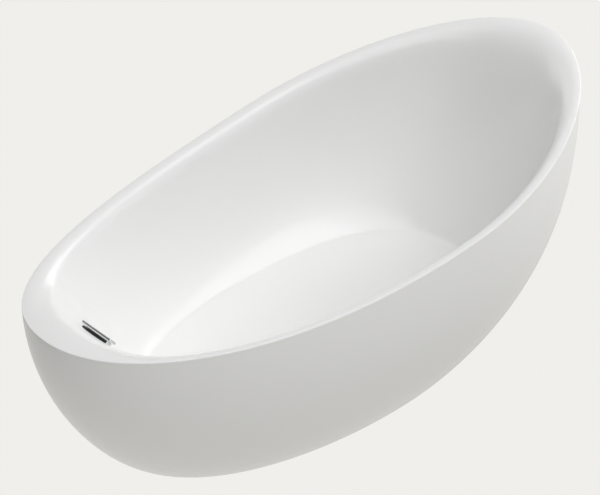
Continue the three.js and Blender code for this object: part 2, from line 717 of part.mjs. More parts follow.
function wasteBody() {
  const neck = THROAT_OUTER + TOUCH_GAP;
  const cup = turned([
    [OUTLET_RADIUS - BODY_WALL, outletBottom],
    [OUTLET_RADIUS, outletBottom],
    [OUTLET_RADIUS, bodyBottom],
    [BODY_RADIUS, bodyBottom],
    [BODY_RADIUS, bodyTop - BODY_FLANGE_THICKNESS],
    [BODY_FLANGE_RADIUS, bodyTop - BODY_FLANGE_THICKNESS],
    [BODY_FLANGE_RADIUS, bodyTop],
    [neck, bodyTop],
    [neck, bodyTop - BODY_FLANGE_THICKNESS],
    [BODY_RADIUS - BODY_WALL, bodyTop - BODY_FLANGE_THICKNESS],
    [BODY_RADIUS - BODY_WALL, bodyBottom + BODY_WALL],
    [OUTLET_RADIUS - BODY_WALL, bodyBottom + BODY_WALL],
    [OUTLET_RADIUS - BODY_WALL, outletBottom],
  ]);
  const inner = -(BODY_RADIUS - BODY_WALL) + OVERCUT;
  const outer = -BODY_RADIUS - HOSE_SPIGOT_LENGTH;
  const spigot = rodAlongX(HOSE_SPIGOT_RADIUS, outer, inner).translate(0, 0, hoseInletZ);
  const boreRadius = HOSE_SPIGOT_RADIUS - HOSE_SPIGOT_WALL;
  const bore = rodAlongX(boreRadius, outer - OVERCUT, -BODY_RADIUS / 2).translate(0, 0, hoseInletZ);
  const chamber = rod(BODY_RADIUS - BODY_WALL, bodyBottom + BODY_WALL, bodyTop - BODY_FLANGE_THICKNESS);
  return piece('waste_body', cut(joined(cup, cut(spigot, chamber)), bore), whitePlastic());
}

const sealTop = flangeTop - TOUCH_GAP;
const plugUnder = flangeTop + TOUCH_GAP;

function plugCap() {
  const top = plugUnder + PLUG_THICKNESS;
  const stub = PLUG_SEAL_INNER - TOUCH_GAP;
  const stubBottom = sealTop - PLUG_SEAL_HEIGHT;
  const cap = turned([
    [0, stubBottom],
    [stub, stubBottom],
    [stub, plugUnder],
    [PLUG_RADIUS - PLUG_UNDERCUT, plugUnder],
    [PLUG_RADIUS, plugUnder + PLUG_THICKNESS / 3],
    [PLUG_RADIUS - PLUG_SHOULDER, top - PLUG_CROWN],
    [0, top],
  ]);
  return piece('plug_cap', cap, polishedChrome());
}

function plugSeal() {
  const outer = THROAT_INNER - RUNNING_GAP;
  const seal = ring(PLUG_SEAL_INNER, outer, sealTop - PLUG_SEAL_HEIGHT, sealTop);
  return piece('plug_seal', seal, blackRubber());
}

function plugStem() {
  const top = sealTop - PLUG_SEAL_HEIGHT - TOUCH_GAP;
  const stem = rod(PLUG_STEM_RADIUS, throatBottom - PLUG_STEM_OVERHANG, top, SMALL_SIDES);
  return piece('plug_stem', stem, turnedBrass());
}

// Trap

const trapNutTop = bodyBottom - TOUCH_GAP - TRAP_NUT_CLEARANCE;
const trapNutBottom = trapNutTop - TRAP_NUT_HEIGHT;
const trapTop = trapNutBottom - TRAP_TOP_GAP;
const dipTop = outletBottom - TOUCH_GAP;
const pipeZ = trapTop - TRAP_WALL - PIPE_RADIUS - TRAP_WALL;
const pipeStart = TRAP_RADIUS + PIPE_SOCKET_LENGTH;

function trapUnionNut() {
  const nut = rod(TRAP_NUT_RADIUS, trapNutBottom, trapNutTop, SMALL_SIDES);
  const bore = rod(OUTLET_RADIUS + TOUCH_GAP, trapNutBottom - OVERCUT, trapNutTop + OVERCUT);
  return piece('trap_union_nut', cut(nut, bore), greyPlastic());
}

function trapBody() {
  const inside = TRAP_RADIUS - TRAP_WALL;
  const dipInside = DIP_TUBE_RADIUS - TRAP_WALL;
  const dipEnd = TRAP_FLOOR_GAP + DIP_TUBE_FLOOR_GAP;
  const bowl = turned([
    [0, TRAP_FLOOR_GAP],
    [TRAP_RADIUS, TRAP_FLOOR_GAP],
    [TRAP_RADIUS, trapTop],
    [DIP_TUBE_RADIUS, trapTop],
    [DIP_TUBE_RADIUS, dipTop],
    [dipInside, dipTop],
    [dipInside, dipEnd],
    [DIP_TUBE_RADIUS, dipEnd],
    [DIP_TUBE_RADIUS, trapTop - TRAP_WALL],
    [inside, trapTop - TRAP_WALL],
    [inside, TRAP_FLOOR_GAP + TRAP_WALL],
    [0, TRAP_FLOOR_GAP + TRAP_WALL],
  ]);
  const socket = rodAlongX(PIPE_RADIUS, inside - OVERCUT, pipeStart).translate(0, 0, pipeZ);
  const chamber = rod(inside, TRAP_FLOOR_GAP + TRAP_WALL, trapTop - TRAP_WALL);
  const bore = rodAlongX(PIPE_RADIUS - TRAP_WALL, TRAP_RADIUS / 2, pipeStart + OVERCUT);
  const boredSocket = cut(socket, chamber);
  const outerBore = cut(bore.translate(0, 0, pipeZ), rod(inside - TRAP_WALL, 0, trapTop));
  return piece('trap_body', cut(joined(bowl, boredSocket), outerBore), whitePlastic());
}

function outletNut() {
  const start = pipeStart - PIPE_NUT_LENGTH / 2;
  const nut = rodAlongX(PIPE_NUT_RADIUS, start, start + PIPE_NUT_LENGTH, SMALL_SIDES);
  const bore = rodAlongX(PIPE_RADIUS + TOUCH_GAP, start - OVERCUT, start + PIPE_NUT_LENGTH + OVERCUT);
  return piece('trap_outlet_nut', cut(nut, bore).translate(0, 0, pipeZ), greyPlastic());
}

function outletPipe() {
  const start = pipeStart + TOUCH_GAP;
  const pipe = ringAlongX(PIPE_RADIUS - PIPE_WALL, PIPE_RADIUS, start, start + PIPE_LENGTH);
  return piece('outlet_pipe', pipe.translate(0, 0, pipeZ), greyPlastic());
}

function waste() {
  const set = new THREE.Group();
  set.position.x = wasteX;
  set.add(wasteFlange(), upperGasket(), lowerGasket(), wasteBody());
  set.add(plugCap(), plugSeal(), plugStem());
  set.add(trapUnionNut(), trapBody(), outletNut(), outletPipe());
  return set;
}

// Overflow, in its own frame: +X into the basin, +Z up the wall

const seatBack = -SHELL_THICKNESS - OVERFLOW_SEAT.depth;
const gasketBack = seatBack - TOUCH_GAP - GASKET_THICKNESS;
const housingFront = gasketBack - TOUCH_GAP;
const housingBack = housingFront - HOUSING.depth;

function overflowBezel() {
  const [w, h] = [BEZEL.width / 2, BEZEL.height / 2];
  const outside = block(seatBack, BEZEL.standOff, -w, w, -h, h);
  const [iw, ih] = [w - BEZEL.wall, h - BEZEL.wall];
  const inside = block(seatBack - OVERCUT, BEZEL.standOff + OVERCUT, -iw, iw, -ih, ih);
  const half = BEZEL_SLOT_WIDTH / 2;
  const slotStart = BEZEL.standOff - BEZEL_SLOT_DEPTH;
  const inlet = block(slotStart, BEZEL.standOff + OVERCUT, -half, half, -h - OVERCUT, -ih + OVERCUT);
  return piece('overflow_bezel', cut(outside, inside, inlet), polishedChrome());
}

function overflowCover() {
  const plate = roundedPlate(COVER.width, COVER.height, COVER.corner, COVER.thickness);
  return piece('overflow_cover', plate.translate(BEZEL.standOff + TOUCH_GAP, 0, 0), polishedChrome());
}

function overflowGasket() {
  const [w, h] = [OVERFLOW_SEAT.width / 2 - GASKET_INSET, OVERFLOW_SEAT.height / 2 - GASKET_INSET];
  const [iw, ih] = [BEZEL.width / 2 + GASKET_CLEARANCE, BEZEL.height / 2 + GASKET_CLEARANCE];
  const sheet = block(gasketBack, gasketBack + GASKET_THICKNESS, -w, w, -h, h);
  const opening = block(gasketBack - OVERCUT, seatBack + OVERCUT, -iw, iw, -ih, ih);
  const screwHoles = screwBores(gasketBack - OVERCUT, seatBack);
  return piece('overflow_gasket', cut(sheet, opening, ...screwHoles), blackRubber());
}

function screwBores(x0, x1) {
  return [-OVERFLOW_SCREW_SPREAD, OVERFLOW_SCREW_SPREAD].map((y) => {
    return rodAlongX(SCREW_RADIUS + SCREW_CLEARANCE, x0, x1, SMALL_SIDES).translate(0, y, 0);
  });
}

// The housing hangs behind the wall; its spigot points straight down for the hose
function spigotAxis() {
  const middle = new THREE.Vector3((housingFront + housingBack) / 2, 0, 0);
  middle.applyAxisAngle(new THREE.Vector3(0, 1, 0), -overflow.tilt).add(overflow.at);
  return middle;
}

const spigotTop = spigotAxis();
const spigotEndZ = spigotTop.z - HOUSING.height / 2 - HOSE_SPIGOT_LENGTH;

function overflowHousing() {
  const [w, h] = [HOUSING.width / 2, HOUSING.height / 2];
  const wall = HOUSING.wall;
  const box = toOverflow(block(housingBack, housingFront, -w, w, -h, h));
  const cavityWidth = BEZEL.width / 2;
  const [back, front] = [housingBack + wall, housingFront + OVERCUT];
  const cavity = block(back, front, -cavityWidth, cavityWidth, -h + wall, h - wall);
  const spigot = rod(HOSE_SPIGOT_RADIUS, spigotEndZ, spigotTop.z).translate(spigotTop.x, 0, 0);
  const boreRadius = HOSE_SPIGOT_RADIUS - HOSE_SPIGOT_WALL;
  const bore = rod(boreRadius, spigotEndZ - OVERCUT, spigotTop.z).translate(spigotTop.x, 0, 0);
  const screwHoles = screwBores(housingBack - OVERCUT, housingFront + OVERCUT).map(toOverflow);
  const shape = cut(joined(box, spigot), toOverflow(cavity), bore, ...screwHoles);
  return piece('overflow_housing', shape, whitePlastic());
}

function overflowScrew(side) {
  const headFront = housingBack - TOUCH_GAP;
  const head = rodAlongX(SCREW_HEAD_RADIUS, headFront - SCREW_HEAD_HEIGHT, headFront, HEX_SIDES);
  const shank = rodAlongX(SCREW_RADIUS, housingBack - OVERCUT, seatBack - TOUCH_GAP, SMALL_SIDES);
  const mesh = piece(`overflow_screw_${side}`, joined(head, shank), zincSteel());
  mesh.position.y = side === 'left' ? OVERFLOW_SCREW_SPREAD : -OVERFLOW_SCREW_SPREAD;
  return mesh;
}

function overflowSet() {
  const set = new THREE.Group();
  set.position.copy(overflow.at);
  set.rotation.y = -overflow.tilt;
  set.add(overflowBezel(), overflowCover(), overflowGasket());
  set.add(overflowScrew('left'), overflowScrew('right'));
  return set;
}

// The hose drops from the housing and sweeps forward to the waste body, straight where it grips each spigot
function hoseRoute() {
  const start = new THREE.Vector3(spigotTop.x, 0, spigotEndZ + HOSE_OVERLAP);
  const gripStart = start.clone().setZ(spigotEndZ);
  const spigotTip = wasteX - BODY_RADIUS - HOSE_SPIGOT_LENGTH;
  const end = new THREE.Vector3(spigotTip + HOSE_OVERLAP, 0, hoseInletZ);
  const gripEnd = end.clone().setX(spigotTip);
  const bendDown = gripStart.clone().setZ(gripStart.z - (gripStart.z - end.z) * HOSE_BEND.down);
  const bendIn = gripEnd.clone().setX(gripEnd.x - (gripEnd.x - start.x) * HOSE_BEND.forward);
  const route = new THREE.CurvePath();
  route.add(new THREE.LineCurve3(start, gripStart));
  route.add(new THREE.CubicBezierCurve3(gripStart, bendDown, bendIn, gripEnd));
  route.add(new THREE.LineCurve3(gripEnd, end));
  return route;
}

const hoseSides = SMALL_SIDES;
const hoseInner = (HOSE_SPIGOT_RADIUS + TOUCH_GAP) / Math.cos(Math.PI / hoseSides);
const hoseOuter = hoseInner + HOSE_WALL;

function overflowHose() {
  const section = new THREE.Shape();
  section.absarc(0, 0, hoseOuter, 0, 2 * Math.PI);
  const bore = new THREE.Path();
  bore.absarc(0, 0, hoseInner, 0, 2 * Math.PI, true);
  section.holes.push(bore);
  const options = { steps: HOSE_STEPS, curveSegments: hoseSides / 2, bevelEnabled: false };
  const hose = new THREE.ExtrudeGeometry(section, { ...options, extrudePath: hoseRoute() });
  return piece('overflow_hose', hose, greyPlastic());
}

function hoseClamp() {
  const inner = hoseOuter + CLAMP_GAP;
  const outer = inner + CLAMP_THICKNESS;
  const band = ring(inner, outer, -CLAMP_WIDTH / 2, CLAMP_WIDTH / 2);
  const { out, half, inset } = CLAMP_SCREW_BOX;
  const boxHalf = CLAMP_WIDTH / 2 - inset;
  const screwBox = block(outer - OVERCUT, outer + out, -half, half, -boxHalf, boxHalf);
  return joined(band, cut(screwBox, rod(outer - inset, -CLAMP_WIDTH, CLAMP_WIDTH)));
}

function hoseClamps() {
  const upper = piece('hose_clamp_upper', hoseClamp(), zincSteel());
  upper.position.set(spigotTop.x, 0, spigotEndZ + HOSE_OVERLAP / 2);
  upper.rotation.z = Math.PI;
  const lower = piece('hose_clamp_lower', hoseClamp(), zincSteel());
  lower.rotation.y = -Math.PI / 2;
  const spigotTip = wasteX - BODY_RADIUS - HOSE_SPIGOT_LENGTH;
  lower.position.set(spigotTip + HOSE_OVERLAP / 2, 0, hoseInletZ);
  return [upper, lower];
}

const bathtub = new THREE.Group();
bathtub.add(tubShell(), outerPanel(), rimBond(), floorBoard());
bathtub.add(rail('left'), rail('right'));
for (const row of Object.keys(feetRows)) {
  bathtub.add(crossTube(row), foot(row, 'left'), foot(row, 'right'));
}
for (const row of Object.keys(bracketRows)) {
  for (const side of Object.keys(sides)) {
    bathtub.add(bracket(row, side), bracketScrew(row, side));
  }
}
bathtub.add(waste(), overflowSet(), overflowHousing(), overflowHose(), ...hoseClamps());
export default bathtub;
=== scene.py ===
"""Freestanding egg-shaped bathtub: shells, overflow, waste, trap and cradle around the CAD frame."""

import math

import bmesh
import bpy
from mathutils import Matrix, Vector


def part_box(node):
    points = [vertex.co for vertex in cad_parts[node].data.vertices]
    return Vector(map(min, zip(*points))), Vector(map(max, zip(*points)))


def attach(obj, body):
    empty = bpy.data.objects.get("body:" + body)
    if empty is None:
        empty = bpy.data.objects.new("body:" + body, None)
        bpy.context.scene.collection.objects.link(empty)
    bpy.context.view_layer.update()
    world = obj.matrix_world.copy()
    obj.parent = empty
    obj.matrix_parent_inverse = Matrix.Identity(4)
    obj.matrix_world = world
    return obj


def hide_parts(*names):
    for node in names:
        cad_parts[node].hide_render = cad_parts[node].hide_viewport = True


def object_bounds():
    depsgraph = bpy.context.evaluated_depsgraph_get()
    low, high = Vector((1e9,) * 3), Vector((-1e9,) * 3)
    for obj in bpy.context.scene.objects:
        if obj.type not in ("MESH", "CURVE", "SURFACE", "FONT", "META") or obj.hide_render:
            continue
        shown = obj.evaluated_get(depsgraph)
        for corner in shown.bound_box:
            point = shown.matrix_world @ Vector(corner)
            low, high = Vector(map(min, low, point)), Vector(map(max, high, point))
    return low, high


bl_info = {
    "name": "Freestanding bathtub",
    "version": (1, 0, 0),
    "blender": (4, 5, 0),
    "location": "3D View > Sidebar > Bathtub",
    "description": "Builds an egg-shaped freestanding bathtub with its overflow, waste and cradle",
    "category": "Object",
}

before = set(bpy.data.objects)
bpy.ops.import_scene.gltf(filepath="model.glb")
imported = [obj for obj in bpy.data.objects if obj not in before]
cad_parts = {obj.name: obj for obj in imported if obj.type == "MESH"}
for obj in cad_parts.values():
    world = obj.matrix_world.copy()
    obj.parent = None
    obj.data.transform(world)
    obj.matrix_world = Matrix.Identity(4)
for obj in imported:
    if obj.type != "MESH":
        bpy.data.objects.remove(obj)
CAD_LOW, CAD_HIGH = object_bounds()

ROWS = ("foot", "middle", "head")
SIDES = ("left", "right")
BRACKET_ROWS = ("head", "foot")

# Shells, in metres. The bond's bead is drawn thicker than the CAD's, which leaves a gap on each side
LENGTH = CAD_HIGH.x - CAD_LOW.x
WIDTH = CAD_HIGH.y - CAD_LOW.y
RIM_HEAD, RIM_MIDDLE, RIM_FOOT = 0.790, 0.620, 0.630
FLOOR_Z = 0.165
LIP_THICKNESS = 0.006
LIP_UNDERSIDE = 0.018
LIP_INSET = (0.060, 0.036, 0.042)
SHELL_THICKNESS = 0.007
SKIN_THICKNESS = 0.006
SKIN_FLANGE = 0.015
SKIN_BOTTOM = 0.004
BOND_THICKNESS = 0.0018
TOUCH = 0.00005
RIM_CENTRE, BASE_CENTRE, FLOOR_CENTRE = 0.205, 0.070, 0.060
RIM_POWERS, BASE_POWERS, FLOOR_POWERS = (1.9, 2.15), (2.1, 2.1), (2.4, 2.1)
BASE_INSET = (0.390, 0.405, 0.185)
FLOOR_INSET = (0.343, 0.370, 0.152)

# (head, side, foot) shapes of the two walls
BULGE_LIFT = (2.9, 2.65, 1.75)
BULGE_SPREAD = (1.0, 1.05, 1.65)
FILLET_RUN = (0.08, 0.93, 0.2)
FILLET_RISE = (0.03, 0.17, 0.03)
SHOULDER_RUN = (0.45, 0.97, 0.36)
SHOULDER_RISE = (0.6, 0.22, 0.98)
ROLL_DEPTH = (0.080, 0.050, 0.040)

OVERFLOW_SHARE = 0.74
PLATE_STAND_OFF = 0.0098
PLATE_SIZE = (0.0085, 0.120, 0.030)
PLATE_CORNER = 0.004
# How near its axis a solid turned piece starts
POLE = 0.0002
WASTE_RECESS_RADIUS = 0.037
WASTE_RECESS_DEPTH = 0.004
WASTE_HOLE_RADIUS = 0.026
SPIGOT_RUN = -0.0371
HOSE_OVERLAP = 0.024
HOSE_RADIUS = 0.0194
HOSE_GROOVE = 0.0014
HOSE_BORE = 0.0164
HOSE_BEND_DOWN, HOSE_BEND_FORWARD = 0.6, 0.75
STRAINER_ARMS = (60, 180, 300)
UNION_BORE = 0.0236
OUTLET_BORE = 0.0206
PIPE_WALL = 0.0025
FOOT_SOCKET = 0.0063
FOOT_NUT_BORE = 0.0063
FOOT_BODIES = {
    "foot_pad": "pad_{}_{}",
    "foot_spindle": "spindle_{}_{}",
    "foot_lock_nut": "bath",
}

# Studio: each softbox's name, azimuth and elevation in degrees, and its power in watts
FLOOR_GLOW = 0.8
AMBIENT = 0.03
SOFTBOX_SIZE = 3.0
SOFTBOX_DISTANCE = 5.0
CAMERA_PLACE = (-4.7252, -5.1091, 5.5108)
CAMERA_AIM = (0.54717, 0.59660, -0.58722)
CAMERA_LENS = 183.46
CAMERA_SENSOR = 36.0
FILL, SOFT, FAINT = 50, 45, 15
SOFTBOXES = (
    ("head_fill", 0, 20, 2 * FILL),
    ("far_fill", 90, 20, FILL),
    ("far_soft", 90, 50, FAINT),
    ("foot_soft", 225, 50, SOFT),
    ("near_soft", 270, 50, SOFT),
    ("key", 315, 50, 75),
    ("top_soft", 0, 90, SOFT),
)


# ---------------------------------------------------------------- settings


class BathSizes(bpy.types.PropertyGroup):
    """Sizes of the details that the CAD leaves plain."""

    around: bpy.props.IntProperty(
        name="Shell segments",
        description="How many columns of faces go round each shell",
        default=288,
        min=64,
        max=512,
    )
    crease_softness: bpy.props.FloatProperty(
        name="Floor crease",
        description="How far the rounding between the basin's floor and wall reaches each way",
        default=0.009,
        min=0.002,
        max=0.04,
        unit="LENGTH",
    )
    rim_edge_radius: bpy.props.FloatProperty(
        name="Rim edge radius",
        description="Rounding of the rim's outer edge",
        default=0.003,
        min=0.001,
        max=0.0055,
        unit="LENGTH",
    )
    chrome_edge: bpy.props.FloatProperty(
        name="Chrome edge radius",
        description="Rounding of the overflow cover's edges",
        default=0.0008,
        min=0.0002,
        max=0.002,
        unit="LENGTH",
    )
    thread_pitch: bpy.props.FloatProperty(
        name="Foot thread pitch",
        description="Rise of the levelling feet's thread in one turn",
        default=0.00175,
        min=0.001,
        max=0.004,
        unit="LENGTH",
    )
    corrugation: bpy.props.FloatProperty(
        name="Hose corrugation",
        description="Distance from one ridge of the overflow hose to the next",
        default=0.0042,
        min=0.002,
        max=0.01,
        unit="LENGTH",
    )


class BathFinishes(bpy.types.PropertyGroup):
    """Colours of the finishes."""

    acrylic: bpy.props.FloatVectorProperty(
        name="Acrylic",
        description="Colour of the basin and the outer skin",
        default=(0.86, 0.86, 0.857),
        min=0,
        max=1,
        size=3,
        subtype="COLOR",
    )
    chrome: bpy.props.FloatVectorProperty(
        name="Chrome",
        description="Colour of the overflow cover and the plug",
        default=(0.80, 0.81, 0.82),
        min=0,
        max=1,
        size=3,
        subtype="COLOR",
    )
    steel_paint: bpy.props.FloatVectorProperty(
        name="Cradle paint",
        description="Colour of the powder coat on the cradle's tubes",
        default=(0.07, 0.075, 0.08),
        min=0,
        max=1,
        size=3,
        subtype="COLOR",
    )
    pipe: bpy.props.FloatVectorProperty(
        name="Pipe plastic",
        description="Colour of the waste pipe, the hose and the nuts",
        default=(0.36, 0.38, 0.40),
        min=0,
        max=1,
        size=3,
        subtype="COLOR",
    )
    background: bpy.props.FloatVectorProperty(
        name="Floor",
        description="Colour of the studio floor",
        default=(0.871, 0.863, 0.831),
        min=0,
        max=1,
        size=3,
        subtype="COLOR",
    )


# ---------------------------------------------------------------- finishes


def new_material(name):
    material = bpy.data.materials.new(name)
    material.use_nodes = True
    nodes = material.node_tree.nodes
    return material, nodes, material.node_tree.links, nodes["Principled BSDF"]


def object_noise(nodes, links, scale, detail=3.0, stretch=(1, 1, 1)):
    """A noise pattern on Object coordinates, stretched along the axes."""
    place = nodes.new("ShaderNodeTexCoord")
    mapping = nodes.new("ShaderNodeMapping")
    mapping.inputs["Scale"].default_value = stretch
    noise = nodes.new("ShaderNodeTexNoise")
    noise.inputs["Scale"].default_value = scale
    noise.inputs["Detail"].default_value = detail
    links.new(place.outputs["Object"], mapping.inputs["Vector"])
    links.new(mapping.outputs["Vector"], noise.inputs["Vector"])
    return noise.outputs["Fac"]


def ramp_between(nodes, links, source, dark, light, low=0.3, high=0.7):
    """Colours a pattern from dark to light between two of its values."""
    ramp = nodes.new("ShaderNodeValToRGB")
    ramp.color_ramp.elements[0].position = low
    ramp.color_ramp.elements[1].position = high
    ramp.color_ramp.elements[0].color = (*dark, 1)
    ramp.color_ramp.elements[1].color = (*light, 1)
    links.new(source, ramp.inputs["Fac"])
    return ramp.outputs["Color"]


def range_between(nodes, links, source, low, high):
    """Maps a pattern's middle values onto a range of numbers."""
    spread = nodes.new("ShaderNodeMapRange")
    spread.inputs["From Min"].default_value = 0.3
    spread.inputs["From Max"].default_value = 0.7
    spread.inputs["To Min"].default_value = low
    spread.inputs["To Max"].default_value = high
    links.new(source, spread.inputs["Value"])
    return spread.outputs["Result"]


def add_bump(nodes, links, shader, source, strength, depth):
    bump = nodes.new("ShaderNodeBump")
    bump.inputs["Strength"].default_value = strength
    bump.inputs["Distance"].default_value = depth
    links.new(source, bump.inputs["Height"])
    links.new(bump.outputs["Normal"], shader.inputs["Normal"])


def shade(colour, factor):
    return tuple(min(1.0, channel * factor) for channel in colour)


def acrylic_finish(colour):
    material, nodes, links, shader = new_material("white_acrylic")
    tint = ramp_between(
        nodes, links, object_noise(nodes, links, 3.0), shade(colour, 0.992), shade(colour, 1.004)
    )
    links.new(tint, shader.inputs["Base Color"])
    haze = object_noise(nodes, links, 14.0, 4.0)
    links.new(range_between(nodes, links, haze, 0.33, 0.38), shader.inputs["Roughness"])
    add_bump(nodes, links, shader, object_noise(nodes, links, 320.0, 2.0), 0.03, 0.0002)
    shader.inputs["IOR"].default_value = 1.49
    return material


def bond_finish(colour):
    material, nodes, links, shader = new_material("bond_adhesive")
    tint = ramp_between(
        nodes, links, object_noise(nodes, links, 60.0), shade(colour, 0.97), shade(colour, 1.0)
    )
    links.new(tint, shader.inputs["Base Color"])
    shader.inputs["Roughness"].default_value = 0.5
    add_bump(nodes, links, shader, object_noise(nodes, links, 500.0), 0.1, 0.0002)
    return material


def chrome_finish(colour):
    material, nodes, links, shader = new_material("polished_chrome")
    shader.inputs["Metallic"].default_value = 1.0
    tint = ramp_between(
        nodes, links, object_noise(nodes, links, 30.0), shade(colour, 0.98), colour
    )
    links.new(tint, shader.inputs["Base Color"])
    smear = object_noise(nodes, links, 90.0, 5.0, (1, 0.3, 1))
    links.new(range_between(nodes, links, smear, 0.03, 0.08), shader.inputs["Roughness"])
    return material


def turned_metal_finish(name, colour, low, high):
    """A drawn or turned metal with fine lines along Z."""
    material, nodes, links, shader = new_material(name)
    shader.inputs["Metallic"].default_value = 1.0
    lines = object_noise(nodes, links, 420.0, 4.0, (1, 1, 0.06))
    tint = ramp_between(nodes, links, lines, shade(colour, 0.86), shade(colour, 1.04))
    links.new(tint, shader.inputs["Base Color"])
    blotch = object_noise(nodes, links, 55.0, 4.0)
    links.new(range_between(nodes, links, blotch, low, high), shader.inputs["Roughness"])
    add_bump(nodes, links, shader, lines, 0.12, 0.0001)
    return material


def powder_coat_finish(colour):
    material, nodes, links, shader = new_material("painted_steel")
    mottle = object_noise(nodes, links, 24.0, 4.0)
    tint = ramp_between(nodes, links, mottle, shade(colour, 0.85), shade(colour, 1.2))
    links.new(tint, shader.inputs["Base Color"])
    grit = object_noise(nodes, links, 1500.0, 2.0)
    links.new(range_between(nodes, links, grit, 0.42, 0.58), shader.inputs["Roughness"])
    add_bump(nodes, links, shader, grit, 0.35, 0.0002)
    return material


def rubber_finish():
    material, nodes, links, shader = new_material("black_rubber")
    dust = object_noise(nodes, links, 40.0, 5.0)
    tint = ramp_between(nodes, links, dust, (0.018, 0.018, 0.019), (0.034, 0.033, 0.033))
    links.new(tint, shader.inputs["Base Color"])
    shader.inputs["Roughness"].default_value = 0.78
    add_bump(nodes, links, shader, object_noise(nodes, links, 900.0), 0.25, 0.0003)
    return material


def moulded_plastic_finish(name, colour, roughness):
    material, nodes, links, shader = new_material(name)
    flow = object_noise(nodes, links, 18.0, 4.0, (1, 1, 0.4))
    tint = ramp_between(nodes, links, flow, shade(colour, 0.95), shade(colour, 1.03))
    links.new(tint, shader.inputs["Base Color"])
    grain = object_noise(nodes, links, 1100.0, 2.0)
    spread = range_between(nodes, links, grain, roughness - 0.05, roughness + 0.05)
    links.new(spread, shader.inputs["Roughness"])
    add_bump(nodes, links, shader, grain, 0.2, 0.00015)
    return material


def chipboard_finish():
    material, nodes, links, shader = new_material("fibre_board")
    place = nodes.new("ShaderNodeTexCoord")
    mapping = nodes.new("ShaderNodeMapping")
    mapping.inputs["Scale"].default_value = (60, 140, 90)
    mapping.inputs["Rotation"].default_value = (0.0, 0.0, 0.6)
    flakes = nodes.new("ShaderNodeTexVoronoi")
    flakes.inputs["Scale"].default_value = 1.6
    links.new(place.outputs["Object"], mapping.inputs["Vector"])
    links.new(mapping.outputs["Vector"], flakes.inputs["Vector"])
    grey = nodes.new("ShaderNodeRGBToBW")
    links.new(flakes.outputs["Color"], grey.inputs["Color"])
    tint = ramp_between(
        nodes, links, grey.outputs["Val"], (0.34, 0.22, 0.12), (0.66, 0.49, 0.30), 0.1, 0.9
    )
    links.new(tint, shader.inputs["Base Color"])
    shader.inputs["Roughness"].default_value = 0.82
    add_bump(nodes, links, shader, flakes.outputs["Distance"], 0.3, 0.0006)
    return material


def finish(slot):
    """The material of one slot, made when it is first asked for."""
    if slot in bpy.data.materials:
        return bpy.data.materials[slot]
    colours = bpy.context.scene.bath_finishes
    makers = {
        "white_acrylic": lambda: acrylic_finish(tuple(colours.acrylic)),
        "bond_adhesive": lambda: bond_finish(tuple(colours.acrylic)),
        "polished_chrome": lambda: chrome_finish(tuple(colours.chrome)),
        "plug_brass": lambda: turned_metal_finish("plug_brass", (0.72, 0.55, 0.28), 0.2, 0.32),
        "zinc_steel": lambda: turned_metal_finish("zinc_steel", (0.62, 0.63, 0.64), 0.26, 0.42),
        "painted_steel": lambda: powder_coat_finish(tuple(colours.steel_paint)),
        "black_rubber": rubber_finish,
        "white_plastic": lambda: moulded_plastic_finish("white_plastic", (0.80, 0.80, 0.78), 0.45),
        "grey_plastic": lambda: moulded_plastic_finish("grey_plastic", tuple(colours.pipe), 0.42),
        "fibre_board": chipboard_finish,
    }
    return makers[slot]()


# ---------------------------------------------------------------- modelling


def start_clean():
    if bpy.context.mode != "OBJECT":
        bpy.ops.object.mode_set(mode="OBJECT")
    bpy.ops.object.select_all(action="DESELECT")


def put_ring(mesh, ring):
    """Puts the newest ring of points in its place."""
    bm = bmesh.from_edit_mesh(mesh)
    slot = bm.verts.layers.int["place_in_ring"]
    bm.verts.ensure_lookup_table()
    for vertex in bm.verts[-len(ring) :]:
        vertex.co = ring[vertex[slot]]


def fill_first_ring(mesh, count):
    bpy.ops.mesh.select_all(action="DESELECT")
    bm = bmesh.from_edit_mesh(mesh)
    bm.verts.ensure_lookup_table()
    for vertex in bm.verts[:count]:
        vertex.select = True
    bm.select_flush(True)
    bmesh.update_edit_mesh(mesh)
    bpy.ops.mesh.edge_face_add()


def drawn_up(name, rings, closed=False, smooth=30.0):
    """A piece drawn up ring by ring from a circle; its ends are filled, or meet if it is closed."""
    start_clean()
    count = len(rings[0])
    bpy.ops.mesh.primitive_circle_add(vertices=count, radius=1, location=(0, 0, 0))
    piece = bpy.context.object
    piece.name = piece.data.name = name
    bpy.ops.object.mode_set(mode="EDIT")
    bm = bmesh.from_edit_mesh(piece.data)
    slot = bm.verts.layers.int.new("place_in_ring")
    for place, vertex in enumerate(bm.verts):
        vertex[slot] = place
    put_ring(piece.data, rings[0])
    for ring in rings[1:] + ([rings[0]] if closed else []):
        bpy.ops.mesh.extrude_edges_move()
        put_ring(piece.data, ring)
    if not closed:
        bpy.ops.mesh.edge_face_add()
        fill_first_ring(piece.data, count)
    bpy.ops.mesh.select_all(action="SELECT")
    bpy.ops.mesh.remove_doubles(threshold=1e-7)
    bpy.ops.mesh.normals_make_consistent(inside=False)
    bpy.ops.object.mode_set(mode="OBJECT")
    piece.data.attributes.remove(piece.data.attributes["place_in_ring"])
    bpy.ops.object.shade_smooth_by_angle(angle=math.radians(smooth))
    return piece


def circle(radius, height, sides, turn=0.0):
    """A level ring of points about Z. The radius may vary with the angle."""
    points = []
    for i in range(sides):
        angle = 2 * math.pi * i / sides + turn
        reach = radius(angle) if callable(radius) else radius
        rise = height(angle) if callable(height) else height
        points.append(Vector((reach * math.cos(angle), reach * math.sin(angle), rise)))
    return points


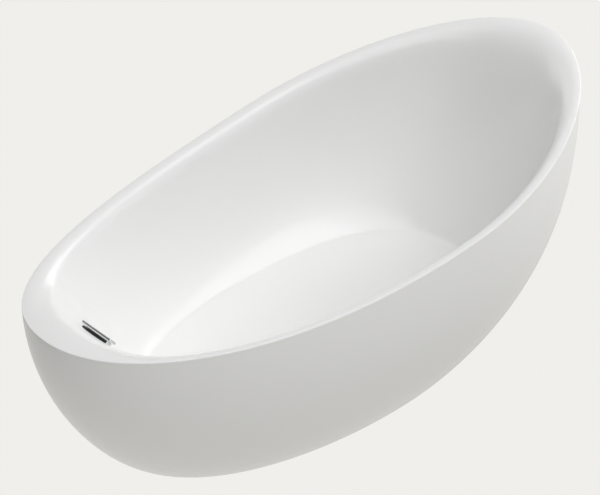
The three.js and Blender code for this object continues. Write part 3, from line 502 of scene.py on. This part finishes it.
def rounded(profile, radius, steps=4, closed=False):
    """A profile of (radius, height) pairs with its corners rounded."""
    count = len(profile)
    result = []
    for i, corner in enumerate(profile):
        if not closed and i in (0, count - 1):
            result.append(tuple(corner))
            continue
        here = Vector(corner)
        before, after = Vector(profile[i - 1]), Vector(profile[(i + 1) % count])
        cut = min(radius, (before - here).length * 0.45, (after - here).length * 0.45)
        start = here + (before - here).normalized() * cut
        end = here + (after - here).normalized() * cut
        for step in range(steps + 1):
            share = step / steps
            inner = start.lerp(here, share).lerp(here.lerp(end, share), share)
            result.append(tuple(inner))
    return result


def along_x(point):
    """Turns a shape made about Z so that it runs along X."""
    return Vector((point.z, point.y, -point.x))


def turned(name, profile, centre, sides=64, closed=False, axis="Z", smooth=35.0):
    """A turned piece from (radius, height) pairs."""
    rings = [circle(radius, height, sides) for radius, height in profile]
    if axis == "X":
        rings = [[along_x(point) for point in ring] for ring in rings]
    placed = [[point + Vector(centre) for point in ring] for ring in rings]
    return drawn_up(name, placed, closed, smooth)


def apply_modifier(piece, kind, **settings):
    bpy.context.view_layer.objects.active = piece
    modifier = piece.modifiers.new(kind.lower(), kind)
    for key, value in settings.items():
        setattr(modifier, key, value)
    bpy.ops.object.modifier_apply(modifier=modifier.name)


def carve(piece, tool):
    """Cuts the tool's shape out of a piece and removes the tool."""
    start_clean()
    apply_modifier(piece, "BOOLEAN", object=tool, operation="DIFFERENCE", solver="EXACT")
    bpy.data.objects.remove(tool)


def merged(name, pieces):
    """Joins pieces into one object under one name."""
    start_clean()
    for piece in pieces:
        piece.select_set(True)
    bpy.context.view_layer.objects.active = pieces[0]
    bpy.ops.object.join()
    pieces[0].name = pieces[0].data.name = name
    return pieces[0]


def copy_of(piece, name, shift):
    """A copy with its own mesh, moved by a distance."""
    mesh = piece.data.copy()
    mesh.transform(Matrix.Translation(shift))
    copied = bpy.data.objects.new(name, mesh)
    mesh.name = name
    bpy.context.scene.collection.objects.link(copied)
    return copied


def block(name, size, place=None, edge=0.0, steps=3, corner=0.0):
    """A cube stretched to a size, with its upright corners and then its edges rounded."""
    start_clean()
    bpy.ops.mesh.primitive_cube_add(size=1, location=(0, 0, 0))
    piece = bpy.context.object
    piece.name = piece.data.name = name
    bpy.ops.object.mode_set(mode="EDIT")
    bpy.ops.transform.resize(value=size)
    if corner:
        bm = bmesh.from_edit_mesh(piece.data)
        for item in [*bm.verts, *bm.edges, *bm.faces]:
            item.select = False
        for e in bm.edges:
            run = e.verts[0].co - e.verts[1].co
            if abs(run.x) > 0.9 * size[0] and abs(run.y) < 1e-6 and abs(run.z) < 1e-6:
                e.select = True
        bm.select_flush_mode()
        bmesh.update_edit_mesh(piece.data)
        bpy.ops.mesh.bevel(offset=corner, segments=6, affect="EDGES")
    bpy.ops.object.mode_set(mode="OBJECT")
    if edge:
        apply_modifier(
            piece, "BEVEL", width=edge, segments=steps, limit_method="ANGLE", angle_limit=0.6
        )
    piece.data.transform(place if place is not None else Matrix())
    bpy.ops.object.shade_smooth_by_angle(angle=math.radians(35))
    return piece


def softened_copy(node, name, edge, steps=2):
    """A CAD node's shape with its flat faces made whole and its sharp edges rounded."""
    start_clean()
    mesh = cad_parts[node].data.copy()
    piece = bpy.data.objects.new(name, mesh)
    mesh.name = name
    mesh.materials.clear()
    bpy.context.scene.collection.objects.link(piece)
    piece.select_set(True)
    bpy.context.view_layer.objects.active = piece
    bpy.ops.object.mode_set(mode="EDIT")
    bpy.ops.mesh.select_all(action="SELECT")
    bpy.ops.mesh.remove_doubles(threshold=1e-6)
    bpy.ops.mesh.dissolve_limited(angle_limit=math.radians(1.0))
    bpy.ops.object.mode_set(mode="OBJECT")
    if edge:
        apply_modifier(
            piece,
            "BEVEL",
            width=edge,
            segments=steps,
            limit_method="ANGLE",
            angle_limit=math.radians(40),
        )
    bpy.ops.object.shade_smooth_by_angle(angle=math.radians(35))
    return piece


def settle(piece, slot, body, *nodes):
    """Gives a finished piece its finish and its body, and lets it stand for its CAD nodes."""
    piece.data.materials.clear()
    piece.data.materials.append(finish(slot))
    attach(piece, body)
    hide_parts(*nodes)


def middle(node):
    low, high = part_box(node)
    return (low + high) / 2


# ---------------------------------------------------------------- shells


class Egg:
    """An egg outline: two half superellipses that meet at its widest line."""

    def __init__(self, inset, centre, powers):
        head, foot, side = inset
        self.centre = centre
        self.head = LENGTH / 2 - head - centre
        self.foot = LENGTH / 2 - foot + centre
        self.half = WIDTH / 2 - side
        self.powers = powers

    def at(self, angle, share=1.0):
        along, across = math.cos(angle), math.sin(angle)
        reach = self.head if along > 0 else self.foot
        power = 2 / (self.powers[0] if along > 0 else self.powers[1])
        x = reach * math.copysign(abs(along) ** power, along)
        y = self.half * math.copysign(abs(across) ** power, across)
        return Vector((self.centre + share * x, share * y))


RIM = Egg((0, 0, 0), RIM_CENTRE, RIM_POWERS)
BASE = Egg(BASE_INSET, BASE_CENTRE, BASE_POWERS)
FLOOR = Egg(FLOOR_INSET, FLOOR_CENTRE, FLOOR_POWERS)
LIP = Egg(LIP_INSET, RIM_CENTRE, RIM_POWERS)


def by_angle(angle, choice):
    """Blends a (head, side, foot) choice round the tub."""
    along = math.cos(angle)
    end = choice[0] if along > 0 else choice[2]
    return choice[1] + (end - choice[1]) * along * along


def rim_height(x):
    share = x / (LENGTH / 2)
    slope = (RIM_HEAD - RIM_FOOT) / 2
    swoop = (RIM_HEAD + RIM_FOOT) / 2 - RIM_MIDDLE
    return RIM_MIDDLE + slope * share + swoop * share * share


class Section:
    """An upright plane through two outline points; a point in it is (run, z)."""

    def __init__(self, inner, outer):
        self.inner = inner
        self.length = (outer - inner).length
        self.direction = (outer - inner).normalized()

    def at(self, run, z):
        foot = self.inner + self.direction * run
        return Vector((foot.x, foot.y, z))


def bezier(points, share):
    """A point on a Bezier curve of any degree."""
    while len(points) > 1:
        points = [a.lerp(b, share) for a, b in zip(points, points[1:])]
    return points[0]


def arc_steps(points, start, end, steps):
    return [bezier(points, start + (end - start) * i / steps) for i in range(steps + 1)]


def offset_profile(points, distance):
    """Moves a profile sideways, to the right of its direction of travel."""
    moved = []
    for i, point in enumerate(points):
        travel = (points[min(i + 1, len(points) - 1)] - points[max(i - 1, 0)]).normalized()
        moved.append(Vector((point.x + travel.y * distance, point.y - travel.x * distance)))
    return moved


def lip_section(angle):
    return Section(LIP.at(angle), RIM.at(angle))


def wall_curve(angle):
    """The basin wall at one angle: its plane, its rim height and its control points."""
    plane = Section(FLOOR.at(angle), LIP.at(angle))
    top = rim_height(RIM.at(angle).x)
    rise = top - FLOOR_Z

    def control(run, share):
        return Vector((run * plane.length, FLOOR_Z + share * rise))

    points = [
        control(0, 0),
        control(by_angle(angle, FILLET_RUN), by_angle(angle, FILLET_RISE)),
        control(by_angle(angle, SHOULDER_RUN), by_angle(angle, SHOULDER_RISE)),
        control(1, 1),
    ]
    return plane, top, points


def share_at_distance(points, distance):
    """How far along a curve its point at a straight distance from the start lies."""
    low, high = 0.0, 1.0
    for _ in range(30):
        half = (low + high) / 2
        if (bezier(points, half) - points[0]).length < distance:
            low = half
        else:
            high = half
    return low


def basin_column(angle, softness, edge_radius):
    """The basin shell's section at one angle, from the floor up, over the rim and down behind."""
    plane, top, points = wall_curve(angle)
    lip = lip_section(angle)
    edge_run = plane.length + lip.length
    end = 1 - by_angle(angle, ROLL_DEPTH) / (3 * (points[3] - points[2]).length)
    start = share_at_distance(points, softness)
    soft = [Vector((-softness, FLOOR_Z)), points[0], bezier(points, start)]
    front = arc_steps(soft, 0, 1, 8)[:-1] + arc_steps(points, start, end, 52)
    roll = [front[-1], points[3], Vector((edge_run - edge_radius, top))]
    fillet = [roll[-1], Vector((edge_run, top)), Vector((edge_run, top - edge_radius))]
    over = arc_steps(roll, 0, 1, 24)[1:] + arc_steps(fillet, 0, 1, 6)[1:]
    over += [Vector((run, top - LIP_THICKNESS)) for run in (edge_run, edge_run - LIP_UNDERSIDE)]
    backed = arc_steps(points, 0, end, 24) + arc_steps(roll, 0, 0.6, 4)[1:]
    back = offset_profile(backed, SHELL_THICKNESS)[::-1]
    back[-1].y = FLOOR_Z - SHELL_THICKNESS
    return [
        plane.at(p.x, p.y) if p.x < plane.length else lip.at(p.x - plane.length, p.y)
        for p in front + over + back
    ]


def skin_column(angle):
    """The outer skin's section at one angle, up the outside, over the flange and down inside."""
    plane = Section(BASE.at(angle), RIM.at(angle))
    top = rim_height(RIM.at(angle).x)
    lift, spread = by_angle(angle, BULGE_LIFT), by_angle(angle, BULGE_SPREAD)

    def outline(share):
        reach = (1 - (1 - share) ** lift) ** (1 / spread)
        return Vector((reach * plane.length, share * top))

    first, last = SKIN_BOTTOM / top, 1 - (LIP_THICKNESS + BOND_THICKNESS) / top
    steps = 72
    outer = [outline(first + (last - first) * (i / steps) ** 1.3) for i in range(steps + 1)]
    coarse = [outline(first + (last - first) * (i / 24) ** 1.3) for i in range(25)]
    inner = offset_profile(coarse, -SKIN_THICKNESS)[::-1]
    inner[0].y = outer[-1].y - SKIN_THICKNESS
    inner[-1].y = SKIN_BOTTOM
    lip = lip_section(angle)
    ledge = lip.length - SKIN_FLANGE
    flange = [lip.at(ledge, outer[-1].y), lip.at(ledge, inner[0].y)]
    return [plane.at(p.x, p.y) for p in outer] + flange + [plane.at(p.x, p.y) for p in inner]


def bond_column(angle):
    """The bead of adhesive between the lip and the skin, flush with both outside."""
    lip = lip_section(angle)
    top = rim_height(RIM.at(angle).x) - LIP_THICKNESS - TOUCH
    bottom = top - BOND_THICKNESS + 2 * TOUCH
    inside, outside = lip.length - SKIN_FLANGE, lip.length - TOUCH
    return [lip.at(outside, bottom), lip.at(outside, top), lip.at(inside, top), lip.at(inside, bottom)]


def rings_of(columns):
    """Columns of points round the tub, turned into level rings."""
    return [list(ring) for ring in zip(*columns)]


def angles_around(count):
    return [2 * math.pi * i / count for i in range(count)]


def overflow_place():
    """Where the overflow sits: +X of this frame points into the basin, +Z up the wall."""
    plane, _, points = wall_curve(math.pi)
    here = bezier(points, OVERFLOW_SHARE)
    step = 1e-4
    travel = bezier(points, OVERFLOW_SHARE + step) - bezier(points, OVERFLOW_SHARE - step)
    tilt = math.atan2(travel.x, travel.y)
    return Matrix.Translation(plane.at(here.x, here.y)) @ Matrix.Rotation(-tilt, 4, "Y")


class BATH_OT_basin(bpy.types.Operator):
    """Models the basin shell with its rim, waste recess and overflow slot"""

    bl_idname = "bath.basin"
    bl_label = "Basin"

    def execute(self, context):
        sizes = context.scene.bath_sizes
        angles = angles_around(sizes.around)
        columns = [basin_column(a, sizes.crease_softness, sizes.rim_edge_radius) for a in angles]
        rings = rings_of(columns)
        floor_shares = (0.01, 0.3, 0.6, 0.8, 0.9)
        floor = [[(*FLOOR.at(a, share), FLOOR_Z) for a in angles] for share in floor_shares]
        under_z = FLOOR_Z - SHELL_THICKNESS
        under = [[(*FLOOR.at(a, share), under_z) for a in angles] for share in (0.9, 0.5, 0.01)]
        basin = drawn_up("basin", floor + rings + under)
        waste = middle("waste_flange")
        for radius, low, high in (
            (WASTE_RECESS_RADIUS, FLOOR_Z - WASTE_RECESS_DEPTH, FLOOR_Z + 0.01),
            (WASTE_HOLE_RADIUS, under_z - 0.01, FLOOR_Z),
        ):
            profile = [(radius, low), (radius, high)]
            carve(basin, turned("cutter", profile, (waste.x, waste.y, 0), 96))
        slot_low, slot_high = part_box("overflow_bezel")
        width = slot_high.y - slot_low.y + 0.0008
        slot = block("cutter", (0.060, width, 0.0228), overflow_place())
        carve(basin, slot)
        start_clean()
        basin.select_set(True)
        context.view_layer.objects.active = basin
        bpy.ops.object.shade_smooth_by_angle(angle=math.radians(30))
        settle(basin, "white_acrylic", "bath", "tub_shell")
        return {"FINISHED"}


class BATH_OT_outer_skin(bpy.types.Operator):
    """Models the outer skin and the bond between it and the rim"""

    bl_idname = "bath.outer_skin"
    bl_label = "Outer skin"

    def execute(self, context):
        angles = angles_around(context.scene.bath_sizes.around)
        skin = drawn_up("outer_skin", rings_of([skin_column(a) for a in angles]), closed=True)
        settle(skin, "white_acrylic", "bath", "outer_panel")
        bond = drawn_up("rim_bead", rings_of([bond_column(a) for a in angles]), closed=True)
        settle(bond, "bond_adhesive", "bath", "rim_bond")
        return {"FINISHED"}


# ---------------------------------------------------------------- overflow


class BATH_OT_overflow(bpy.types.Operator):
    """Models the chrome overflow, its gasket, housing and screws"""

    bl_idname = "bath.overflow"
    bl_label = "Overflow"

    def execute(self, context):
        edge = context.scene.bath_sizes.chrome_edge
        place = overflow_place()
        bezel = softened_copy("overflow_bezel", "overflow_neck", edge / 2)
        settle(bezel, "polished_chrome", "bath", "overflow_bezel")
        shift = Matrix.Translation((PLATE_STAND_OFF + PLATE_SIZE[0] / 2, 0, 0))
        plate = block("overflow_plate", PLATE_SIZE, place @ shift, edge, 4, PLATE_CORNER)
        settle(plate, "polished_chrome", "bath", "overflow_cover")
        gasket = softened_copy("overflow_gasket", "overflow_seal", 0.0004)
        settle(gasket, "black_rubber", "bath", "overflow_gasket")
        housing = softened_copy("overflow_housing", "overflow_box", 0.0015)
        settle(housing, "white_plastic", "bath", "overflow_housing")
        for side in SIDES:
            node = f"overflow_screw_{side}"
            screw = softened_copy(node, f"overflow_bolt_{side}", 0.0004)
            settle(screw, "zinc_steel", "bath", node)
        return {"FINISHED"}


# ---------------------------------------------------------------- hose


def hose_path():
    """The middle line of the overflow hose, from the housing's spigot to the waste body."""
    low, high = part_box("overflow_hose")
    top = overflow_place() @ Vector((SPIGOT_RUN, 0, 0))
    upper = Vector((top.x, 0, high.z))
    lower = Vector((high.x, 0, low.z + HOSE_RADIUS))
    drop = upper.z - lower.z
    start = upper - Vector((0, 0, HOSE_OVERLAP))
    finish = lower - Vector((HOSE_OVERLAP, 0, 0))
    reach = finish.x - start.x
    bend = [
        start,
        start - Vector((0, 0, HOSE_BEND_DOWN * drop)),
        finish - Vector((HOSE_BEND_FORWARD * reach, 0, 0)),
        finish,
    ]
    line = [upper] + arc_steps(bend, 0, 1, 400) + [lower]
    return line


def along_path(line, spacing):
    """Evenly spaced points on a line in the XZ plane, each with the line's direction."""
    lengths = [0.0]
    for a, b in zip(line, line[1:]):
        lengths.append(lengths[-1] + (b - a).length)
    count = round(lengths[-1] / spacing)
    placed, segment = [], 0
    for i in range(count + 1):
        want = lengths[-1] * i / count
        while segment < len(line) - 2 and lengths[segment + 1] < want:
            segment += 1
        a, b = line[segment], line[segment + 1]
        share = (want - lengths[segment]) / (b - a).length
        placed.append((a.lerp(b, share), (b - a).normalized(), want))
    return placed, lengths[-1]


def hose_ring(centre, travel, radius, sides):
    across = Vector((travel.z, 0, -travel.x))
    return [
        centre
        + radius * math.cos(2 * math.pi * i / sides) * across
        + radius * math.sin(2 * math.pi * i / sides) * Vector((0, 1, 0))
        for i in range(sides)
    ]


class BATH_OT_hose(bpy.types.Operator):
    """Models the corrugated overflow hose and its two clamps"""

    bl_idname = "bath.hose"
    bl_label = "Overflow hose"

    def execute(self, context):
        pitch = context.scene.bath_sizes.corrugation
        placed, total = along_path(hose_path(), pitch / 6)
        rings = []
        for centre, travel, run in placed:
            plain = min(run, total - run) < HOSE_OVERLAP
            ridge = 0.5 - 0.5 * math.cos(2 * math.pi * run / pitch)
            radius = HOSE_RADIUS - (0.0 if plain else HOSE_GROOVE * ridge)
            rings.append(hose_ring(centre, travel, radius, 40))
        inside = [hose_ring(c, t, HOSE_BORE, 40) for c, t, _ in placed[::6]][::-1]
        hose = drawn_up("overflow_hose_run", rings + inside, closed=True, smooth=60.0)
        settle(hose, "grey_plastic", "bath", "overflow_hose")
        for end in ("upper", "lower"):
            node = f"hose_clamp_{end}"
            settle(softened_copy(node, f"hose_band_{end}", 0.0004), "zinc_steel", "bath", node)
        return {"FINISHED"}


# ---------------------------------------------------------------- waste and trap


def on_waste(name, profile, sides=96, closed=True, radius=0.0008, smooth=35.0):
    """A piece turned about the waste's upright axis, with its edges rounded."""
    centre = middle("waste_flange")
    shape = rounded(profile, radius, 3, closed)
    return turned(name, shape, (centre.x, centre.y, 0), sides, closed, smooth=smooth)


def washer(inner, outer, low, high):
    return [(inner, low), (outer, low), (outer, high), (inner, high)]


def gripped(radius, depth, ridges):
    """A radius with grooves cut round it for grip."""
    return lambda angle: radius - depth * (0.5 + 0.5 * math.cos(ridges * angle)) ** 3


def grip_nut(name, centre, axis, inner, outer, low, high):
    """A nut with a grooved outside, made about Z and then laid along its axis."""
    grooved = gripped(outer, 0.0016, 24)
    soft = 0.0012
    rings = [
        circle(inner, low, 144),
        circle(outer - soft - 0.0016, low, 144),
        circle(grooved, low + soft, 144),
        circle(grooved, high - soft, 144),
        circle(outer - soft - 0.0016, high, 144),
        circle(inner, high, 144),
    ]
    if axis == "X":
        rings = [[along_x(point) for point in ring] for ring in rings]
    placed = [[point + Vector(centre) for point in ring] for ring in rings]
    return drawn_up(name, placed, True, 35.0)


class BATH_OT_waste(bpy.types.Operator):
    """Models the waste flange with its strainer, the two gaskets and the waste body"""

    bl_idname = "bath.waste"
    bl_label = "Waste"

    def execute(self, context):
        low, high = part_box("waste_flange")
        centre = middle("waste_flange")
        throat, tube, brim = 0.021, 0.0245, (high.x - low.x) / 2
        under = high.z - 0.0026
        profile = [
            (throat, low.z), (tube, low.z), (tube, under), (brim, under),
            (brim, high.z), (throat + 0.001, high.z),
        ]
        flange = on_waste("waste_ring", profile)
        hub = on_waste("waste_hub", washer(0.0044, 0.008, low.z, low.z + 0.008), 48)
        arms = []
        reach = throat + 0.0006 - 0.0074
        for degrees in STRAINER_ARMS:
            turn = Matrix.Rotation(math.radians(degrees), 4, "Z")
            out = Matrix.Translation((0.0074 + reach / 2, 0, 0))
            place = Matrix.Translation((centre.x, centre.y, low.z + 0.004)) @ turn @ out
            arms.append(block("waste_arm", (reach, 0.0035, 0.0078), place, 0.0004))
        settle(merged("waste_ring", [flange, hub, *arms]), "polished_chrome", "bath", "waste_flange")
        for side in ("upper", "lower"):
            node = f"waste_gasket_{side}"
            low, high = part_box(node)
            inner = 0.026
            profile = washer(inner, (high.x - low.x) / 2, low.z, high.z)
            gasket = on_waste(f"waste_washer_{side}", profile, radius=0.0004)
            settle(gasket, "black_rubber", "bath", node)
        body = softened_copy("waste_body", "waste_drain", 0.0006)
        settle(body, "white_plastic", "bath", "waste_body")
        return {"FINISHED"}


class BATH_OT_plug(bpy.types.Operator):
    """Models the click plug: its cap, its seal and its stem"""

    bl_idname = "bath.plug"
    bl_label = "Plug"

    def execute(self, context):
        low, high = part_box("plug_cap")
        reach = (high.x - low.x) / 2
        shoulder = high.z - 0.005
        profile = [
            (POLE, low.z), (0.0137, low.z), (0.0137, shoulder), (reach - 0.002, shoulder),
            (reach, shoulder + 0.0015), (reach, high.z - 0.0022), (reach - 0.006, high.z - 0.0005),
            (POLE, high.z),
        ]
        cap = on_waste("plug_dome", profile, closed=False, radius=0.0012, smooth=50.0)
        settle(cap, "polished_chrome", "plug", "plug_cap")
        low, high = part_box("plug_seal")
        seal = on_waste("plug_ring", washer(0.014, (high.x - low.x) / 2, low.z, high.z))
        settle(seal, "black_rubber", "plug", "plug_seal")
        low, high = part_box("plug_stem")
        reach = (high.x - low.x) / 2
        profile = [(POLE, low.z), (reach, low.z), (reach, high.z), (POLE, high.z)]
        stem = on_waste("plug_pin", profile, 48, False)
        settle(stem, "plug_brass", "plug", "plug_stem")
        return {"FINISHED"}


class BATH_OT_trap(bpy.types.Operator):
    """Models the bottle trap, its two nuts and the outlet pipe"""

    bl_idname = "bath.trap"
    bl_label = "Trap"

    def execute(self, context):
        trap = softened_copy("trap_body", "trap_bowl", 0.0012)
        settle(trap, "white_plastic", "bath", "trap_body")
        low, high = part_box("trap_union_nut")
        centre = middle("trap_union_nut")
        union = grip_nut(
            "union_nut", (centre.x, centre.y, 0), "Z", UNION_BORE, (high.x - low.x) / 2, low.z, high.z
        )
        settle(union, "grey_plastic", "bath", "trap_union_nut")
        low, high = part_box("trap_outlet_nut")
        centre = middle("trap_outlet_nut")
        outlet = grip_nut(
            "outlet_nut", (0, centre.y, centre.z), "X", OUTLET_BORE, (high.z - low.z) / 2, low.x, high.x
        )
        settle(outlet, "grey_plastic", "bath", "trap_outlet_nut")
        low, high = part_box("outlet_pipe")
        centre = middle("outlet_pipe")
        radius = (high.z - low.z) / 2
        profile = rounded(washer(radius - PIPE_WALL, radius, low.x, high.x), 0.0006, 3, True)
        pipe = turned("outlet_run", profile, (0, centre.y, centre.z), 72, True, "X")
        settle(pipe, "grey_plastic", "bath", "outlet_pipe")
        return {"FINISHED"}


# ---------------------------------------------------------------- cradle and feet


class BATH_OT_cradle(bpy.types.Operator):
    """Models the floor board, the steel cradle and the brackets that hold the skin"""

    bl_idname = "bath.cradle"
    bl_label = "Cradle"

    def execute(self, context):
        board = softened_copy("floor_board", "base_board", 0.0008)
        settle(board, "fibre_board", "bath", "floor_board")
        steel = [(f"rail_{side}", f"cradle_rail_{side}") for side in SIDES]
        steel += [(f"cross_tube_{row}", f"cradle_tube_{row}") for row in ROWS]
        for node, name in steel:
            settle(softened_copy(node, name, 0.0015, 3), "painted_steel", "bath", node)
        for row in BRACKET_ROWS:
            for side in SIDES:
                bracket, screw = f"panel_bracket_{row}_{side}", f"bracket_screw_{row}_{side}"
                plate = softened_copy(bracket, f"skin_bracket_{row}_{side}", 0.0005)
                settle(plate, "zinc_steel", "bath", bracket)
                bolt = softened_copy(screw, f"skin_screw_{row}_{side}", 0.0003)
                settle(bolt, "zinc_steel", "bath", screw)
        return {"FINISHED"}


def foot_pad():
    low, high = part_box("foot_pad_foot_left")
    reach, tall = (high.x - low.x) / 2, high.z - low.z
    profile = [
        (POLE, 0.0), (reach - 0.002, 0.0), (reach, 0.0015), (reach, 0.0045),
        (reach - 0.003, 0.006), (0.0125, 0.0072), (0.011, 0.009), (0.011, tall),
        (FOOT_SOCKET, tall), (FOOT_SOCKET, 0.008), (POLE, 0.008),
    ]
    return turned("foot_pad", rounded(profile, 0.0008), (0, 0, 0), 64)


def foot_spindle(pitch):
    """A threaded spindle: the ridge climbs one pitch in each turn."""
    low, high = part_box("foot_spindle_foot_left")
    reach, sides = (high.x - low.x) / 2, 32
    depth = pitch * 0.4

    def ridge(height):
        return lambda angle: reach - depth * abs(
            2 * ((height / pitch - angle / (2 * math.pi)) % 1.0) - 1
        )

    count = round((high.z - low.z) / (pitch / 6))
    rise = (high.z - low.z) / count
    rings = [circle(reach - depth, low.z, sides)]
    rings += [circle(ridge(low.z + i * rise), low.z + i * rise, sides) for i in range(1, count)]
    rings += [circle(reach - depth, high.z, sides)]
    return drawn_up("foot_spindle", rings, smooth=25.0)


def foot_nut():
    low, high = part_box("foot_lock_nut_foot_left")
    flat = (high.x - low.x) / 2
    sides, soft = 72, 0.0012

    def hexagon(angle):
        turn = (angle + math.pi / 6) % (math.pi / 3) - math.pi / 6
        return flat / math.cos(turn)

    def trimmed(angle):
        return min(hexagon(angle), flat * 1.02)

    bore = FOOT_NUT_BORE
    rings = [
        circle(bore, low.z, sides),
        circle(trimmed, low.z, sides),
        circle(hexagon, low.z + soft, sides),
        circle(hexagon, high.z - soft, sides),
        circle(trimmed, high.z, sides),
        circle(bore, high.z, sides),
    ]
    return drawn_up("foot_nut", rings, True, 25.0)


class BATH_OT_feet(bpy.types.Operator):
    """Models one levelling foot's pad, threaded spindle and lock nut, and sets six of each"""

    bl_idname = "bath.feet"
    bl_label = "Levelling feet"

    def execute(self, context):
        kinds = (
            ("foot_pad", foot_pad(), "black_rubber"),
            ("foot_spindle", foot_spindle(context.scene.bath_sizes.thread_pitch), "zinc_steel"),
            ("foot_lock_nut", foot_nut(), "zinc_steel"),
        )
        for kind, model, slot in kinds:
            for row in ROWS:
                for side in SIDES:
                    node = f"{kind}_{row}_{side}"
                    place = middle(node)
                    piece = copy_of(model, f"levelling_{node}", Vector((place.x, place.y, 0)))
                    settle(piece, slot, FOOT_BODIES[kind].format(row, side), node)
            bpy.data.objects.remove(model)
        return {"FINISHED"}


# ---------------------------------------------------------------- stage


class BATH_OT_stage(bpy.types.Operator):
    """Sets the studio floor, the lights and the camera"""

    bl_idname = "bath.stage"
    bl_label = "Stage"

    def execute(self, context):
        scene = context.scene
        colour = tuple(scene.bath_finishes.background)
        scene.view_settings.view_transform = "Standard"
        start_clean()
        bpy.ops.mesh.primitive_plane_add(size=60, location=(0, 0, 0))
        floor = context.object
        floor.name = "studio_floor"
        material, nodes, links, shader = new_material("studio_floor")
        shader.inputs["Base Color"].default_value = (0, 0, 0, 1)
        shader.inputs["Specular IOR Level"].default_value = 0.0
        shader.inputs["Roughness"].default_value = 1.0
        shader.inputs["Emission Color"].default_value = (*colour, 1)
        self.glow_less_on_the_tub(nodes, links, shader)
        material.cycles.emission_sampling = "NONE"
        floor.data.materials.append(material)
        self.add_world(scene, colour)
        self.add_lights()
        self.add_camera(scene)
        return {"FINISHED"}

    def glow_less_on_the_tub(self, nodes, links, shader):
        """The floor keeps its colour to the eye, and throws a little less light on the tub."""
        path = nodes.new("ShaderNodeLightPath")
        strength = nodes.new("ShaderNodeMapRange")
        strength.inputs["To Min"].default_value = FLOOR_GLOW
        strength.inputs["To Max"].default_value = 1.0
        links.new(path.outputs["Is Camera Ray"], strength.inputs["Value"])
        links.new(strength.outputs["Result"], shader.inputs["Emission Strength"])

    def add_world(self, scene, colour):
        world = bpy.data.worlds.new("studio")
        scene.world = world
        world.use_nodes = True
        nodes, links = world.node_tree.nodes, world.node_tree.links
        seen = nodes["Background"]
        seen.inputs["Color"].default_value = (*colour, 1)
        light = nodes.new("ShaderNodeBackground")
        light.inputs["Color"].default_value = (1, 1, 1, 1)
        light.inputs["Strength"].default_value = AMBIENT
        path = nodes.new("ShaderNodeLightPath")
        mix = nodes.new("ShaderNodeMixShader")
        links.new(path.outputs["Is Camera Ray"], mix.inputs["Fac"])
        links.new(light.outputs["Background"], mix.inputs[1])
        links.new(seen.outputs["Background"], mix.inputs[2])
        links.new(mix.outputs["Shader"], nodes["World Output"].inputs["Surface"])

    def add_lights(self):
        target = Vector((0, 0, 0.4))
        for name, azimuth, elevation, power in SOFTBOXES:
            around, up = math.radians(azimuth), math.radians(elevation)
            level = math.cos(up)
            way = Vector((math.cos(around) * level, math.sin(around) * level, math.sin(up)))
            place = target + SOFTBOX_DISTANCE * way
            light = bpy.data.lights.new(name, "AREA")
            light.shape = "SQUARE"
            light.size = SOFTBOX_SIZE
            light.energy = power
            lamp = bpy.data.objects.new(name, light)
            lamp.location = place
            aim = (target - place).to_track_quat("-Z", "Y")
            lamp.rotation_euler = aim.to_euler()
            bpy.context.scene.collection.objects.link(lamp)

    def add_camera(self, scene):
        data = bpy.data.cameras.new("studio_camera")
        data.lens = CAMERA_LENS
        data.sensor_width = CAMERA_SENSOR
        camera = bpy.data.objects.new("studio_camera", data)
        camera.location = CAMERA_PLACE
        aim = Vector(CAMERA_AIM).to_track_quat("-Z", "Y")
        camera.rotation_euler = aim.to_euler()
        scene.collection.objects.link(camera)
        scene.camera = camera


class BATH_PT_panel(bpy.types.Panel):
    """Lists the bathtub's pieces, sizes and finishes."""

    bl_label = "Bathtub"
    bl_idname = "BATH_PT_panel"
    bl_space_type = "VIEW_3D"
    bl_region_type = "UI"
    bl_category = "Bathtub"

    def draw(self, context):
        layout = self.layout
        for group in (context.scene.bath_sizes, context.scene.bath_finishes):
            box = layout.box()
            for key in group.bl_rna.properties.keys():
                if key not in ("rna_type", "name"):
                    box.prop(group, key)
        for operator in OPERATORS:
            layout.operator(operator.bl_idname)


OPERATORS = (
    BATH_OT_basin,
    BATH_OT_outer_skin,
    BATH_OT_overflow,
    BATH_OT_hose,
    BATH_OT_waste,
    BATH_OT_plug,
    BATH_OT_trap,
    BATH_OT_cradle,
    BATH_OT_feet,
    BATH_OT_stage,
)
CLASSES = (BathSizes, BathFinishes, *OPERATORS, BATH_PT_panel)


def register():
    for item in CLASSES:
        bpy.utils.register_class(item)
    bpy.types.Scene.bath_sizes = bpy.props.PointerProperty(type=BathSizes)
    bpy.types.Scene.bath_finishes = bpy.props.PointerProperty(type=BathFinishes)


def unregister():
    del bpy.types.Scene.bath_finishes
    del bpy.types.Scene.bath_sizes
    for item in reversed(CLASSES):
        bpy.utils.unregister_class(item)


def main():
    register()
    bpy.ops.bath.basin()
    bpy.ops.bath.outer_skin()
    bpy.ops.bath.overflow()
    bpy.ops.bath.hose()
    bpy.ops.bath.waste()
    bpy.ops.bath.plug()
    bpy.ops.bath.trap()
    bpy.ops.bath.cradle()
    bpy.ops.bath.feet()
    bpy.ops.bath.stage()


if __name__ == "__main__":
    main()
